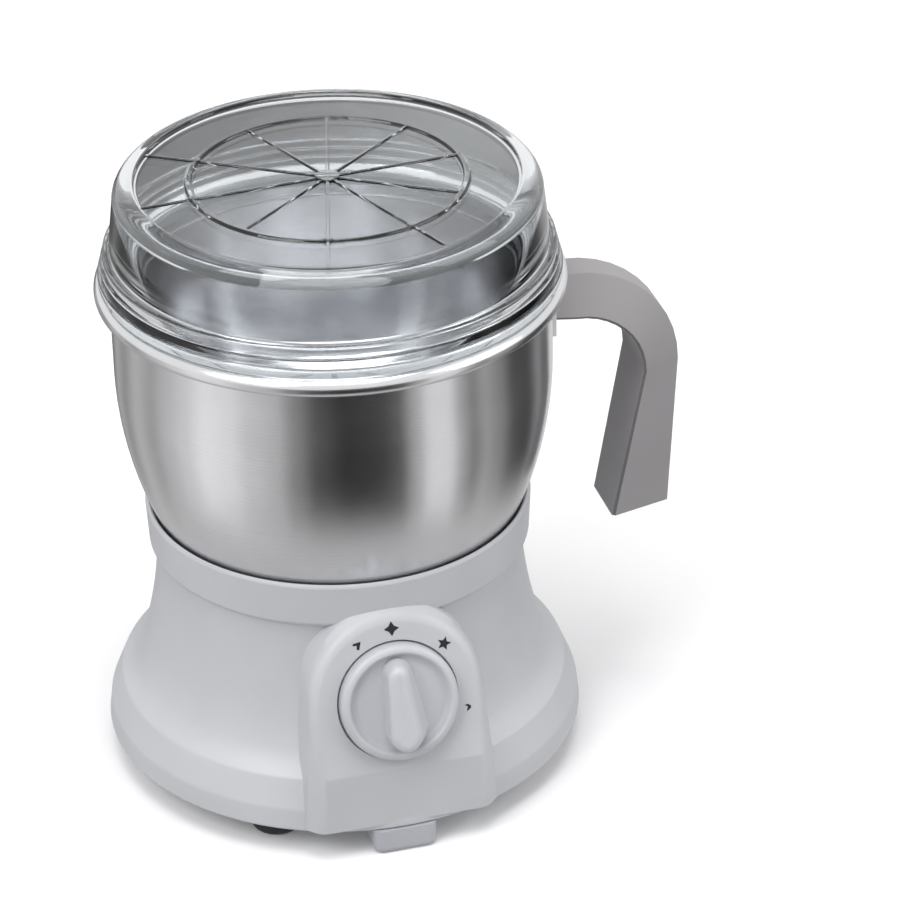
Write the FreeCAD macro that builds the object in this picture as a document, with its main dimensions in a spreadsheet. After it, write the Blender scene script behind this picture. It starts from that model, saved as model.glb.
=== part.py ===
"""Electric spice grinder: a bell-shaped plastic base with a motor and a rotary switch, a lift-off
steel bowl with its blade and side handle, and a clear lid. Millimetres, +Z up, the table is z = 0,
the bowl's axis is x = y = 0 and the control panel faces -Y. The handle is on the +X side."""

import FreeCAD, Part
import os
import re
import Sketcher

SIZES = {
    # base shell, from the lower edge up to the collar that holds the bowl
    "edge_height": (6.6, "lower edge of the base above the table"),
    "edge_radius": (58.8, "base at its lower edge"),
    "wall": (2.5, "moulded wall"),
    "skirt_rise": (5.6, "lower band of the skirt"),
    "skirt_step": (0.7, "draw-in of the lower band"),
    "crease_rise": (7.2, "upper band of the skirt"),
    "crease_step": (3.0, "draw-in of the upper band"),
    "shoulder_rise": (5.5, "flare above the skirt"),
    "shoulder_step": (4.5, "draw-in of the flare"),
    "shoulder_bend": (20.0, "radius of the flare"),
    "waist_rise": (6.7, "hollow under the neck"),
    "waist_step": (2.4, "draw-in of the hollow"),
    "waist_bend": (20.0, "radius of the hollow"),
    "neck_rise": (24.4, "neck"),
    "neck_step": (3.6, "draw-in of the neck"),
    "neck_bend": (60.0, "radius of the neck"),
    "collar_step": (1.6, "rise of the step under the collar"),
    "collar_overhang": (2.3, "collar proud of the neck"),
    "collar_rise": (10.9, "collar"),
    "collar_lip": (1.0, "wall at the top of the collar"),
    # well that takes the bowl's foot
    "well_depth": (13.5, "well below the collar's top"),
    "well_radius": (41.8, "well at its floor"),
    "recess_radius": (17.5, "middle recess for the coupling"),
    "recess_depth": (3.5, "middle recess"),
    "recess_floor": (1.6, "thickness of the recess floor"),
    "key_width": (7.0, "ribs that stop the bowl from turning"),
    "key_height": (4.2, "ribs in the well"),
    "key_reach": (34.2, "inner end of the ribs"),
    # bowl
    "bowl_inner_radius": (51.6, "inside of the mouth"),
    "sheet": (0.8, "steel sheet"),
    "bowl_gap": (0.5, "bowl to collar"),
    "bowl_taper_rise": (35.5, "curved lower wall above the collar"),
    "bowl_wall_rise": (21.5, "straight wall up to the rim"),
    "bowl_taper_bend": (96.0, "radius of the curved wall"),
    "bowl_corner_bend": (13.0, "radius of the bottom corner"),
    "bowl_lean": (21.7, "slope of the wall at the collar, degrees"),
    "bowl_floor_radius": (34.0, "flat of the floor"),
    "bead_radius": (2.2, "rolled edge of the mouth"),
    "foot_rise": (5.0, "bowl floor above the well floor"),
    "foot_outer": (37.0, "foot ring outside"),
    "foot_inner": (33.0, "foot ring inside"),
    "foot_web": (1.6, "web of the foot"),
    "seat_gap": (0.3, "clearance where one body rests on another"),
    # bearing of the blade in the bowl's floor
    "hub_hole": (8.0, "hole in the bowl's floor"),
    "hub_flange_radius": (19.5, "flange of the bearing housing"),
    "hub_flange": (2.5, "flange thickness"),
    "hub_rise": (7.2, "bearing housing above the floor"),
    "hub_top_radius": (6.8, "top of the bearing housing"),
    "hub_base_radius": (9.0, "bearing housing at its flange"),
    "hub_tail": (1.4, "bearing housing below the floor"),
    "blade_seal_height": (2.0, "lip seal round the blade shaft"),
    "bush_radius": (5.0, "bronze bush outside"),
    "foot_screw_circle": (16.5, "screws that hold the foot"),
    "foot_screw_radius": (1.2, "their shanks"),
    # blade
    "blade_shaft_radius": (3.0, "blade shaft"),
    "running_gap": (0.05, "shaft in its bearing"),
    "press_gap": (0.02, "parts pressed together"),
    "blade_length": (41.0, "tip to tip half length"),
    "blade_width": (12.0, "blade at its middle"),
    "blade_thickness": (1.6, "blade"),
    "blade_lift": (4.6, "turned-up tips"),
    "blade_height": (9.2, "blade above the bowl floor"),
    "blade_collar_radius": (5.4, "collar under the blade"),
    "blade_nut_radius": (5.2, "nut across its corners"),
    "blade_nut_height": (5.0, "dome nut"),
    # couplings between motor and blade
    "drive_hub_radius": (5.0, "hub of the lower coupling"),
    "drive_reach": (9.8, "wings of the lower coupling"),
    "dog_width": (3.2, "wings and dogs"),
    "dog_height": (4.0, "wings"),
    "driven_radius": (12.5, "upper coupling outside"),
    "driven_bore": (10.4, "upper coupling inside"),
    "driven_web": (1.1, "web of the upper coupling"),
    "coupling_gap": (0.5, "between the couplings and the recess"),
    # lid
    "lid_wall": (2.0, "clear wall"),
    "lid_overhang": (2.5, "lowest ridge of the lid past the bowl"),
    "lid_ridge_step": (0.7, "each ridge is that much smaller"),
    "lid_groove": (0.9, "depth of the grooves between ridges"),
    "lid_ridge_rise": (2.0, "height of one ridge"),
    "lid_groove_rise": (0.7, "height of one groove"),
    "lid_side_rise": (12.0, "side wall above the ridges"),
    "lid_side_step": (1.4, "draw-in of the side wall"),
    "lid_edge_bend": (4.2, "rounded edge of the top"),
    "lid_dish": (0.8, "sunk middle of the top"),
    "lid_border": (5.6, "rim round the sunk middle"),
    "lid_skirt_rise": (6.0, "plug below the flange"),
    "lid_plug_gap": (2.2, "plug inside the bowl"),
    "lid_rib_gap": (12.0, "ring that the ribs run to, inside the sunk middle"),
    "lid_rib_width": (1.3, "ribs"),
    "lid_rib_rise": (0.6, "ribs above the top"),
    "lid_boss_radius": (3.0, "boss in the middle"),
    "seal_gap": (0.4, "lid seal inside the bowl"),
    "seal_height": (2.4, "lid seal"),
    # handle
    "grip_bottom": (52.0, "lower end of the grip"),
    "grip_gap": (15.2, "bowl to the lower end of the grip"),
    "grip_depth": (15.6, "lower end, along the radius"),
    "grip_wide": (16.4, "lower end, side towards the bowl"),
    "grip_narrow": (8.2, "lower end, outer side"),
    "grip_lean": (7.6, "the grip stands out that much more at its top"),
    "grip_length": (40.0, "straight part of the grip"),
    "grip_top_depth": (10.3, "top end, along the radius"),
    "grip_top_wide": (18.4, "top end, side towards the bowl"),
    "grip_top_narrow": (8.2, "top end, outer side"),
    "grip_corner": (1.6, "rounded corners of the section"),
    "arm_drop": (13.5, "middle of the arm below the rim"),
    "arm_depth": (9.0, "arm, up and down"),
    "arm_gap": (0.4, "bracket plate to the arm"),
    "tongue_width": (6.0, "bracket tongue in the arm"),
    "tongue_thickness": (2.0, "bracket tongue"),
    "tongue_length": (16.6, "bracket tongue from the bowl"),
    "bracket_width": (20.0, "bracket plate on the bowl"),
    "bracket_height": (16.0, "bracket plate"),
    "bracket_thickness": (1.2, "bracket plate"),
    "handle_screw_radius": (1.5, "screw through arm and tongue"),
    # control panel and knob
    "panel_tilt": (15.0, "face leaning back, degrees"),
    "panel_distance": (54.0, "knob centre from the axis"),
    "knob_height": (40.0, "knob centre above the table"),
    "panel_half_width": (20.5, "face, and radius of its arched top"),
    "panel_taper": (8.0, "draft of the panel's sides, degrees"),
    "panel_crease_height": (23.5, "edge between face and lower facet"),
    "panel_bottom": (8.2, "lower end of the facet"),
    "panel_facet_step": (1.1, "facet's lower end further out"),
    "panel_wall": (2.4, "moulded wall"),
    "panel_screw_x": (13.4, "panel screws along X"),
    "panel_screw_drop": (6.2, "panel screws below the neck's top"),
    "panel_screw_radius": (1.3, "panel screws"),
    "knob_radius": (14.3, "knob"),
    "knob_gap": (0.5, "round the knob"),
    "knob_recess": (1.5, "the knob sits that deep"),
    "knob_rise": (3.4, "ring of the knob above the panel"),
    "knob_dish_radius": (10.9, "dished face of the knob"),
    "knob_dish": (1.2, "depth of the dish"),
    "ridge_rise": (9.0, "finger ridge above the panel"),
    "ridge_top_width": (4.0, "ridge at its pointing end"),
    "ridge_bottom_width": (8.6, "ridge at its wide end"),
    "ridge_round": (1.2, "rounded edges of the ridge"),
    "spindle_radius": (3.0, "knob spindle"),
    "spindle_reach": (6.8, "spindle end above the panel face"),
    "bushing_radius": (4.5, "threaded neck of the switch"),
    "switch_width": (21.0, "switch body"),
    "switch_depth": (11.0, "switch body"),
    "terminal_length": (5.0, "switch tabs"),
    # motor
    "shaft_radius": (3.0, "motor shaft"),
    "bearing_radius": (8.0, "bearings outside"),
    "bearing_width": (5.0, "bearings"),
    "cup_wall": (1.2, "bearing cups"),
    "bracket_plate": (1.5, "motor brackets"),
    "stator_length": (56.0, "stator along X"),
    "stator_width": (46.0, "stator along Y"),
    "stack": (11.0, "laminations"),
    "core_radius": (14.0, "armature"),
    "air_gap": (0.5, "armature to stator"),
    "coil_inner": (15.5, "field coil from the axis"),
    "coil_depth": (6.0, "field coil along X"),
    "coil_reach": (17.2, "field coil half width"),
    "coil_leg": (4.2, "field coil side"),
    "coil_overhang": (2.0, "field coil past the stack"),
    "winding_radius": (12.4, "armature winding heads"),
    "winding_head": (1.5, "armature winding past the stack"),
    "commutator_radius": (9.5, "commutator"),
    "commutator_height": (5.6, "commutator"),
    "upper_room": (3.2, "stack to the upper bearing"),
    "lower_room": (10.0, "stack to the lower bracket"),
    "bolt_x": (24.0, "motor bolts along X"),
    "bolt_y": (19.0, "motor bolts along Y"),
    "bolt_radius": (2.0, "motor bolts"),
    "mount_radius": (5.0, "rubber mounts"),
    "mount_height": (2.0, "rubber mounts"),
    "boss_drop": (3.0, "bosses under the well floor"),
    "brush_height": (5.0, "carbon brush"),
    "brush_width": (6.0, "carbon brush"),
    "brush_length": (10.0, "carbon brush"),
    "holder_wall": (1.2, "brush holder"),
    "fan_radius": (24.0, "cooling fan"),
    "fan_height": (3.4, "cooling fan"),
    "fan_blade": (1.2, "fan blade thickness"),
    # bottom
    "cover_gap": (0.3, "cover inside the base"),
    "cover_inset": (0.2, "cover above the base's lower edge"),
    "cover_thickness": (2.4, "bottom cover"),
    "post_x": (42.0, "cover screws along X"),
    "post_y": (22.0, "cover screws along Y"),
    "post_radius": (4.0, "screw posts"),
    "post_rise": (18.0, "screw posts"),
    "cover_screw_radius": (1.5, "cover screws"),
    "foot_circle": (47.0, "outer rubber feet from the axis"),
    "rubber_radius": (6.5, "rubber feet"),
    "rubber_stem": (2.4, "stem through the cover"),
    "block_width": (15.5, "front block foot"),
    "block_front": (59.2, "front block foot, front face from the axis"),
    "block_depth": (10.5, "front block foot, front to back"),
    "block_round": (2.2, "its corners"),
    "block_edge": (1.6, "its rounded lower edges"),
    "vent_width": (3.0, "air slots"),
    "vent_inner": (9.0, "air slots start"),
    "vent_outer": (22.0, "air slots end"),
    # cord inlet and electrics
    "gland_height": (17.5, "cord inlet above the table"),
    "gland_bore": (3.3, "cord hole"),
    "gland_radius": (5.2, "gland in the wall"),
    "gland_flange_radius": (7.2, "gland flange"),
    "gland_reach": (3.0, "gland proud of the wall"),
    "block_terminals_length": (22.0, "terminal block"),
    "block_terminals_width": (9.0, "terminal block"),
    "block_terminals_height": (9.0, "terminal block"),
    "capacitor_length": (17.0, "capacitor"),
    "capacitor_width": (8.0, "capacitor"),
    "capacitor_height": (12.0, "capacitor"),
    "fuse_radius": (1.2, "thermal fuse"),
    "fuse_length": (11.0, "thermal fuse"),
}

FORMULAS = {
    "skirt_radius": "edge_radius - skirt_step",
    "crease_radius": "skirt_radius - crease_step",
    "shoulder_radius": "crease_radius - shoulder_step",
    "waist_radius": "shoulder_radius - waist_step",
    "neck_radius": "waist_radius - neck_step",
    "collar_radius": "neck_radius + collar_overhang",
    "collar_bore": "collar_radius - collar_lip",
    "skirt_height": "edge_height + skirt_rise",
    "crease_height": "skirt_height + crease_rise",
    "shoulder_height": "crease_height + shoulder_rise",
    "waist_height": "shoulder_height + waist_rise",
    "neck_height": "waist_height + neck_rise",
    "collar_base": "neck_height + collar_step",
    "collar_top": "collar_base + collar_rise",
    "well_floor": "collar_top - well_depth",
    "well_under": "well_floor - wall",
    "recess_top": "well_floor - recess_depth",
    "recess_under": "recess_top - recess_floor",
    "bowl_bottom": "well_floor + foot_rise",
    "bowl_floor": "bowl_bottom + sheet",
    "bowl_outer_radius": "bowl_inner_radius + sheet",
    "seat_radius": "collar_bore - bowl_gap",
    "taper_top": "collar_top + bowl_taper_rise",
    "bead_height": "taper_top + bowl_wall_rise",
    "bead_middle": "bowl_inner_radius + bead_radius",
    "rim_top": "bead_height + bead_radius",
    "hub_top": "bowl_floor + hub_rise",
    "hub_bottom": "bowl_bottom - hub_tail",
    "seal_bottom": "hub_top - blade_seal_height",
    "blade_bottom": "bowl_floor + blade_height",
    "driven_top": "hub_bottom - coupling_gap",
    "drive_top": "driven_top - driven_web - coupling_gap",
    "drive_bottom": "recess_top + coupling_gap",
    "driven_bottom": "drive_top - dog_height + coupling_gap",
    "lid_bottom": "rim_top + seat_gap",
    "lid_flange_radius": "bowl_outer_radius + lid_overhang",
    "lid_skirt_radius": "bowl_inner_radius - lid_plug_gap",
    "seal_outer": "bowl_inner_radius - seal_gap",
    "lid_dish_radius": "lid_top_radius - lid_border",
    "lid_rib_reach": "lid_dish_radius - lid_rib_gap",
    "grip_inner": "bowl_outer_radius + grip_gap",
    "arm_start": "bowl_outer_radius + bracket_thickness + arm_gap",
    "tongue_reach": "bowl_outer_radius + tongue_length",
    "lid_ridge_pitch": "lid_ridge_rise + lid_groove_rise",
    "lid_side_base": "lid_bottom + 3 * lid_ridge_pitch",
    "lid_side_radius": "lid_flange_radius - 3 * lid_ridge_step - lid_groove",
    "lid_side_top": "lid_side_base + lid_side_rise",
    "lid_top_radius": "lid_side_radius - lid_side_step",
    "lid_top": "lid_side_top + lid_edge_bend",
    "lid_skirt_bottom": "lid_bottom - lid_skirt_rise",
    "arm_height": "rim_top - arm_drop",
    "panel_crease_distance": "panel_distance + (knob_height - panel_crease_height) * tan(panel_tilt)",
    "panel_facet_distance": "panel_crease_distance + panel_facet_step",
    "panel_back": "knob_recess + panel_wall",
    "bearing_top": "recess_under - seat_gap",
    "upper_bearing_bottom": "bearing_top - bearing_width",
    "stack_top": "upper_bearing_bottom - upper_room",
    "stack_bottom": "stack_top - stack",
    "mount_bottom": "well_under - boss_drop - mount_height",
    "upper_plate": "mount_bottom - bracket_plate",
    "lower_plate_top": "stack_bottom - lower_room",
    "lower_plate": "lower_plate_top - bracket_plate",
    "lower_bearing_bottom": "lower_plate_top - bearing_width",
    "commutator_bottom": "lower_plate_top + 1.2",
    "brush_bottom": "commutator_bottom + 0.3",
    "cover_bottom": "edge_height + cover_inset",
    "cover_top": "cover_bottom + cover_thickness",
    "cover_radius": "edge_radius - wall - cover_gap",
    "fan_top": "lower_bearing_bottom - 0.8",
    "fan_bottom": "fan_top - fan_height",
}

WORD = re.compile(r"[a-z_]+")
VECTOR = FreeCAD.Vector
SIGNS = [(-1, -1), (1, -1), (1, 1), (-1, 1)]

os.makedirs("parts", exist_ok=True)
doc = FreeCAD.newDocument("spice_grinder")
sheet = doc.addObject("Spreadsheet::Sheet", "Sizes")
for row, (alias, (number, note)) in enumerate(SIZES.items(), start=1):
    sheet.set(f"A{row}", alias)
    sheet.set(f"B{row}", str(number))
    sheet.setAlias(f"B{row}", alias)
    sheet.set(f"C{row}", note)
doc.recompute()
nodes = []


def formula(text):
    """The text with every size as a cell of the spreadsheet and every derived size written out."""

    def cell(match):
        word = match.group(0)
        if word in FORMULAS:
            return f"({formula(FORMULAS[word])})"
        return f"Sizes.{word}" if word in SIZES else word

    return WORD.sub(cell, str(text))


def value(text):
    result = sheet.evalExpression(formula(text))
    return float(getattr(result, "Value", result))


def bind(piece, **properties):
    """Tie properties of a piece to formulas."""
    for name, text in properties.items():
        piece.setExpression(name, formula(text))


def place(piece, x="0", y="0", z="0"):
    for axis, text in (("x", x), ("y", y), ("z", z)):
        piece.setExpression(f"Placement.Base.{axis}", formula(text))
    return piece


def turn_to(piece, axis, angle):
    """Turn a piece before its place is bound."""
    piece.Placement = FreeCAD.Placement(VECTOR(0, 0, 0), FreeCAD.Rotation(VECTOR(*axis), angle))
    return piece


def node(name, piece):
    """Mark a piece as a finished sub-part under this name."""
    piece.Label = name
    nodes.append(piece)
    return piece


def cylinder(name, radius, height, x="0", y="0", z="0"):
    piece = doc.addObject("Part::Cylinder", name)
    bind(piece, Radius=radius, Height=height)
    return place(piece, x, y, z)


def block(name, length, width, height, x="0", y="0", z="0"):
    """A box with its middle at x and y and its lower face at z."""
    piece = doc.addObject("Part::Box", name)
    bind(piece, Length=length, Width=width, Height=height)
    return place(piece, f"({x}) - ({length}) / 2", f"({y}) - ({width}) / 2", z)


def spoke(name, inner, outer, width, height, z, angle):
    """A box that runs outwards from the axis in this direction."""
    piece = turn_to(doc.addObject("Part::Box", name), (0, 0, 1), angle)
    bind(piece, Length=f"({outer}) - ({inner})", Width=width, Height=height)
    along = f"({inner}) * cos({angle}) + ({width}) / 2 * sin({angle})"
    across = f"({inner}) * sin({angle}) - ({width}) / 2 * cos({angle})"
    return place(piece, along, across, z)


def join(name, *pieces):
    piece = doc.addObject("Part::MultiFuse", name)
    piece.Shapes = list(pieces)
    return piece


def cut(name, base, *tools):
    piece = doc.addObject("Part::Cut", name)
    piece.Base = base
    piece.Tool = tools[0] if len(tools) == 1 else join(name + "_tools", *tools)
    return piece


def common(name, base, tool):
    piece = doc.addObject("Part::Common", name)
    piece.Base = base
    piece.Tool = tool
    return piece


def group(name, *pieces):
    piece = doc.addObject("Part::Compound", name)
    piece.Links = list(pieces)
    return piece


def tube(name, outer, inner, height, x="0", y="0", z="0"):
    """A ring with a bore that runs a little past both of its faces."""
    body = cylinder(name + "_outside", outer, height, x, y, z)
    bore = cylinder(name + "_bore", inner, f"({height}) + 2", x, y, f"({z}) - 1")
    return cut(name, body, bore)


def bent_side(start, end, radius):
    """Arc from start to end. A positive radius bulges to the left of the way, a negative one right."""
    way = end - start
    left = VECTOR(-way.y, way.x, 0).normalize()
    reach = (radius * radius - way.Length * way.Length / 4) ** 0.5
    side = -1 if radius > 0 else 1
    centre = (start + end) / 2 + left * side * reach
    circle = Part.Circle(centre, VECTOR(0, 0, 1), abs(radius))
    first, last = (end, start) if radius > 0 else (start, end)
    return Part.ArcOfCircle(circle, circle.parameter(first), circle.parameter(last))


def pin(sketch, side, point, corner):
    """Hold one end of a side at its corner."""
    for kind, axis, text in (("DistanceX", -2, corner[0]), ("DistanceY", -1, corner[1])):
        distance = value(text)
        if abs(distance) < 1e-9:
            sketch.addConstraint(Sketcher.Constraint("PointOnObject", side, point, axis))
            continue
        row = sketch.addConstraint(Sketcher.Constraint(kind, -1, 1, side, point, distance))
        sketch.setExpression(f"Constraints[{row}]", formula(text))


def draw(sketch, corners):
    """Closed outline. A corner is (across, up), or (across, up, radius) where an arc leads to it."""
    points = [VECTOR(value(corner[0]), value(corner[1]), 0) for corner in corners]
    ends = []
    for index, corner in enumerate(corners):
        start, end = points[index - 1], points[index]
        if len(corner) == 2:
            sketch.addGeometry(Part.LineSegment(start, end), False)
            ends.append((1, 2))
            continue
        radius = value(corner[2])
        sketch.addGeometry(bent_side(start, end, radius), False)
        ends.append((2, 1) if radius > 0 else (1, 2))
    for index, corner in enumerate(corners):
        after = (index + 1) % len(corners)
        sketch.addConstraint(
            Sketcher.Constraint("Coincident", index, ends[index][1], after, ends[after][0])
        )
        pin(sketch, index, ends[index][1], corner)
        if len(corner) == 3:
            radius = value(corner[2])
            row = sketch.addConstraint(Sketcher.Constraint("Radius", index, abs(radius)))
            text = corner[2] if radius > 0 else f"-({corner[2]})"
            sketch.setExpression(f"Constraints[{row}]", formula(text))


def sketch_on(body, role, corners):
    """Sketch with this outline on one of the body's own planes."""
    sketch = body.newObject("Sketcher::SketchObject", body.Name + "_outline")
    plane = [item for item in body.Origin.OriginFeatures if item.Role == role][0]
    sketch.AttachmentSupport = [(plane, "")]
    sketch.MapMode = "FlatFace"
    draw(sketch, corners)
    doc.recompute()
    return sketch


def turned(name, corners):
    """Body of revolution about Z. The outline's corners are (radius, height)."""
    body = doc.addObject("PartDesign::Body", name)
    sketch = sketch_on(body, "XZ_Plane", corners)
    feature = body.newObject("PartDesign::Revolution", name + "_turn")
    feature.Profile = sketch
    feature.ReferenceAxis = (sketch, ["V_Axis"])
    feature.Angle = 360
    body.Tip = feature
    return body


def padded(name, role, corners, length, taper=None, middle=False, backwards=False):
    """Body made by padding one outline."""
    body = doc.addObject("PartDesign::Body", name)
    sketch = sketch_on(body, role, corners)
    feature = body.newObject("PartDesign::Pad", name + "_pad")
    feature.Profile = sketch
    feature.Midplane = middle
    feature.Reversed = backwards
    bind(feature, Length=length)
    if taper is not None:
        bind(feature, TaperAngle=taper)
    body.Tip = feature
    return body


def on_panel(piece, out="0"):
    """Place a piece made about Z so that Z stands square out of the panel's face at the knob."""
    turn_to(piece, (1, 0, 0), 90 - value("panel_tilt"))
    piece.setExpression("Placement.Rotation.Angle", formula("90 - panel_tilt"))
    return place(
        piece,
        "0",
        f"-panel_distance - ({out}) * cos(panel_tilt)",
        f"knob_height + ({out}) * sin(panel_tilt)",
    )


def polar(radius, angle):
    return f"({radius}) * cos({angle})", f"({radius}) * sin({angle})"


def shell_outside(top, top_radius):
    """Outer outline of the base from its lower edge up to the collar, then in along the top."""
    return [
        ("edge_radius", "edge_height"),
        ("skirt_radius", "skirt_height"),
        ("crease_radius", "crease_height"),
        ("shoulder_radius", "shoulder_height", "shoulder_bend"),
        ("waist_radius", "waist_height", "waist_bend"),
        ("neck_radius", "neck_height", "neck_bend"),
        ("collar_radius - 0.5", "collar_base"),
        ("collar_radius", "collar_top - collar_lip"),
        (top_radius, top, "-1.2 * collar_lip"),
    ]


def upper_housing():
    """Bell-shaped shell with the collar, the well for the bowl and its bosses, one moulding."""
    outline = shell_outside("collar_top", "collar_radius - 0.7 * collar_lip") + [
        ("collar_bore", "collar_top - 0.3 * collar_lip"),
        ("collar_bore - 1.3", "collar_top - 5.5"),
        ("well_radius", "collar_base - 0.6"),
        ("well_radius", "well_floor"),
        ("recess_radius", "well_floor"),
        ("recess_radius", "recess_top"),
        ("2 * shaft_radius", "recess_top"),
        ("2 * shaft_radius", "recess_under"),
        ("recess_radius + wall", "recess_under"),
        ("recess_radius + wall", "well_under"),
        ("neck_radius - wall - 0.6", "well_under"),
        ("waist_radius - wall", "waist_height - 0.5", "-neck_bend"),
        ("shoulder_radius - wall", "shoulder_height - 1", "-waist_bend"),
        ("crease_radius - wall", "crease_height - 1", "-shoulder_bend"),
        ("skirt_radius - wall", "skirt_height"),
        ("edge_radius - wall", "edge_height"),
    ]
    shell = turned("housing_shell", outline)
    added = []
    removed = []
    for index, (side, front) in enumerate(SIGNS):
        x, y = f"{side} * post_x", f"{front} * post_y"
        added.append(cylinder(f"cover_post{index}", "post_radius", "post_rise", x, y, "cover_top"))
        hole = ("cover_screw_radius + press_gap", "post_rise - 3", x, y, "cover_top")
        removed.append(cylinder(f"cover_post_hole{index}", *hole))
        x, y = f"{side} * bolt_x", f"{front} * bolt_y"
        boss = ("mount_radius", "boss_drop + wall / 2", x, y, "well_under - boss_drop")
        added.append(cylinder(f"motor_boss{index}", *boss))
        hole = ("bolt_radius + press_gap", "boss_drop + 1", x, y, "well_under - boss_drop")
        removed.append(cylinder(f"motor_boss_hole{index}", *hole))
    for angle in (90, 210, 330):
        rib = ("key_reach", "well_radius + 0.8", "key_width", "key_height + 0.5")
        added.append(spoke(f"well_key{angle}", *rib, "well_floor - 0.5", angle))
    window = cylinder("switch_window", "switch_width * 0.74", "24")
    on_panel(window, "-25")
    inlet = turn_to(doc.addObject("Part::Cylinder", "inlet_hole"), (1, 0, 0), -90)
    bind(inlet, Radius="gland_radius + press_gap", Height="20")
    place(inlet, "0", "edge_radius - 12", "gland_height")
    removed += [window, inlet]
    for side in (-1, 1):
        removed.append(panel_screw(f"panel_screw_hole{side}", side, "0.1"))
    solid = turned("housing_envelope", shell_outside("collar_top", "collar_bore") + [
        ("0", "collar_top - 0.3 * collar_lip"),
        ("0", "edge_height"),
    ])
    bosses = common("bosses_inside", join("bosses", *added), solid)
    return cut("housing_cut", join("housing_whole", shell, bosses), *removed)


def panel_screw(name, side, extra="0"):
    """Shank of a screw from inside the neck into a post behind the panel's arched top."""
    piece = turn_to(doc.addObject("Part::Cylinder", name), (1, 0, 0), 90)
    bind(piece, Radius=f"panel_screw_radius + ({extra})", Height="9")
    start = "-neck_radius + wall + 4.6"
    return place(piece, f"{side} * panel_screw_x", start, "neck_height - panel_screw_drop")


def panel_shape(name, half_width, front, step):
    """Arched block of the panel: a tapered prism square to the face, trimmed to the side view."""
    arch = padded(
        name + "_arch",
        "XY_Plane",
        [
            (f"-({half_width})", "-45"),
            (half_width, "-45"),
            (half_width, "0"),
            ("0", half_width, f"-({half_width})"),
            (f"-({half_width})", "0", f"-({half_width})"),
        ],
        "24",
        taper="panel_taper",
        backwards=True,
    )
    on_panel(arch, f"-({front})")
    top = "(knob_height + panel_half_width)"
    lean = f"-panel_distance + ({front}) / cos(panel_tilt)"
    side_view = padded(
        name + "_side_view",
        "YZ_Plane",
        [
            ("-28", f"panel_bottom + ({step})"),
            ("-28", top),
            (f"{lean} + ({top} - knob_height) * tan(panel_tilt)", top),
            (f"{lean} - (knob_height - panel_crease_height) * tan(panel_tilt)", "panel_crease_height"),
            (f"-panel_facet_distance + ({front})", f"panel_bottom + ({step})"),
        ],
        "4 * panel_half_width",
        middle=True,
    )
    return common(name, arch, side_view)


def control_panel():
    """Raised panel with an arched top, a tilted face with the knob's recess and a lower facet."""
    outside = panel_shape("panel_outside", "panel_half_width", "0", "0")
    inside = panel_shape("panel_inside", "panel_half_width - panel_wall", "panel_wall", "panel_wall")
    hollow = cut("panel_hollow", outside, inside)
    backing = cylinder("recess_backing", "knob_radius + knob_gap + panel_wall", "panel_back")
    on_panel(backing, "-panel_back")
    posts = []
    for side in (-1, 1):
        post = turn_to(doc.addObject("Part::Cylinder", f"panel_post{side}"), (1, 0, 0), 90)
        bind(post, Radius="2 * panel_screw_radius", Height="9")
        at = (f"{side} * panel_screw_x", "-neck_radius + 4", "neck_height - panel_screw_drop")
        posts.append(place(post, *at))
    inner = common("panel_inner_posts", join("panel_posts", *posts, backing), outside)
    whole = join("panel_whole", hollow, inner)
    recess = cylinder("knob_recess_cut", "knob_radius + knob_gap", "knob_recess + 5")
    on_panel(recess, "-knob_recess")
    hole = cylinder("bushing_hole", "bushing_radius + 0.1", "20")
    on_panel(hole, "-10")
    base = turned("panel_seat", shell_outside("collar_top", "collar_bore") + [
        ("0", "collar_top - 0.3 * collar_lip"),
        ("0", "edge_height"),
    ])
    screws = [panel_screw(f"panel_post_hole{side}", side, "press_gap") for side in (-1, 1)]
    return cut("panel_cut", whole, recess, hole, base, *screws)


def panel_screws():
    screws = []
    for side in (-1, 1):
        shank = panel_screw(f"panel_shank{side}", side)
        head = turn_to(doc.addObject("Part::Cylinder", f"panel_head{side}"), (1, 0, 0), 90)
        bind(head, Radius="panel_screw_radius + 1.1", Height="1.6")
        start = "-neck_radius + wall + 5.5"
        place(head, f"{side} * panel_screw_x", start, "neck_height - panel_screw_drop")
        screws.append(join(f"panel_screw{side}", shank, head))
    return group("panel_screw_pair", *screws)


def foot_places():
    """Middles of the rubber feet: three near the edge and one under the motor."""
    return [polar("foot_circle", angle) for angle in (115, 235, 355)] + [("0", "0")]


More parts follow.
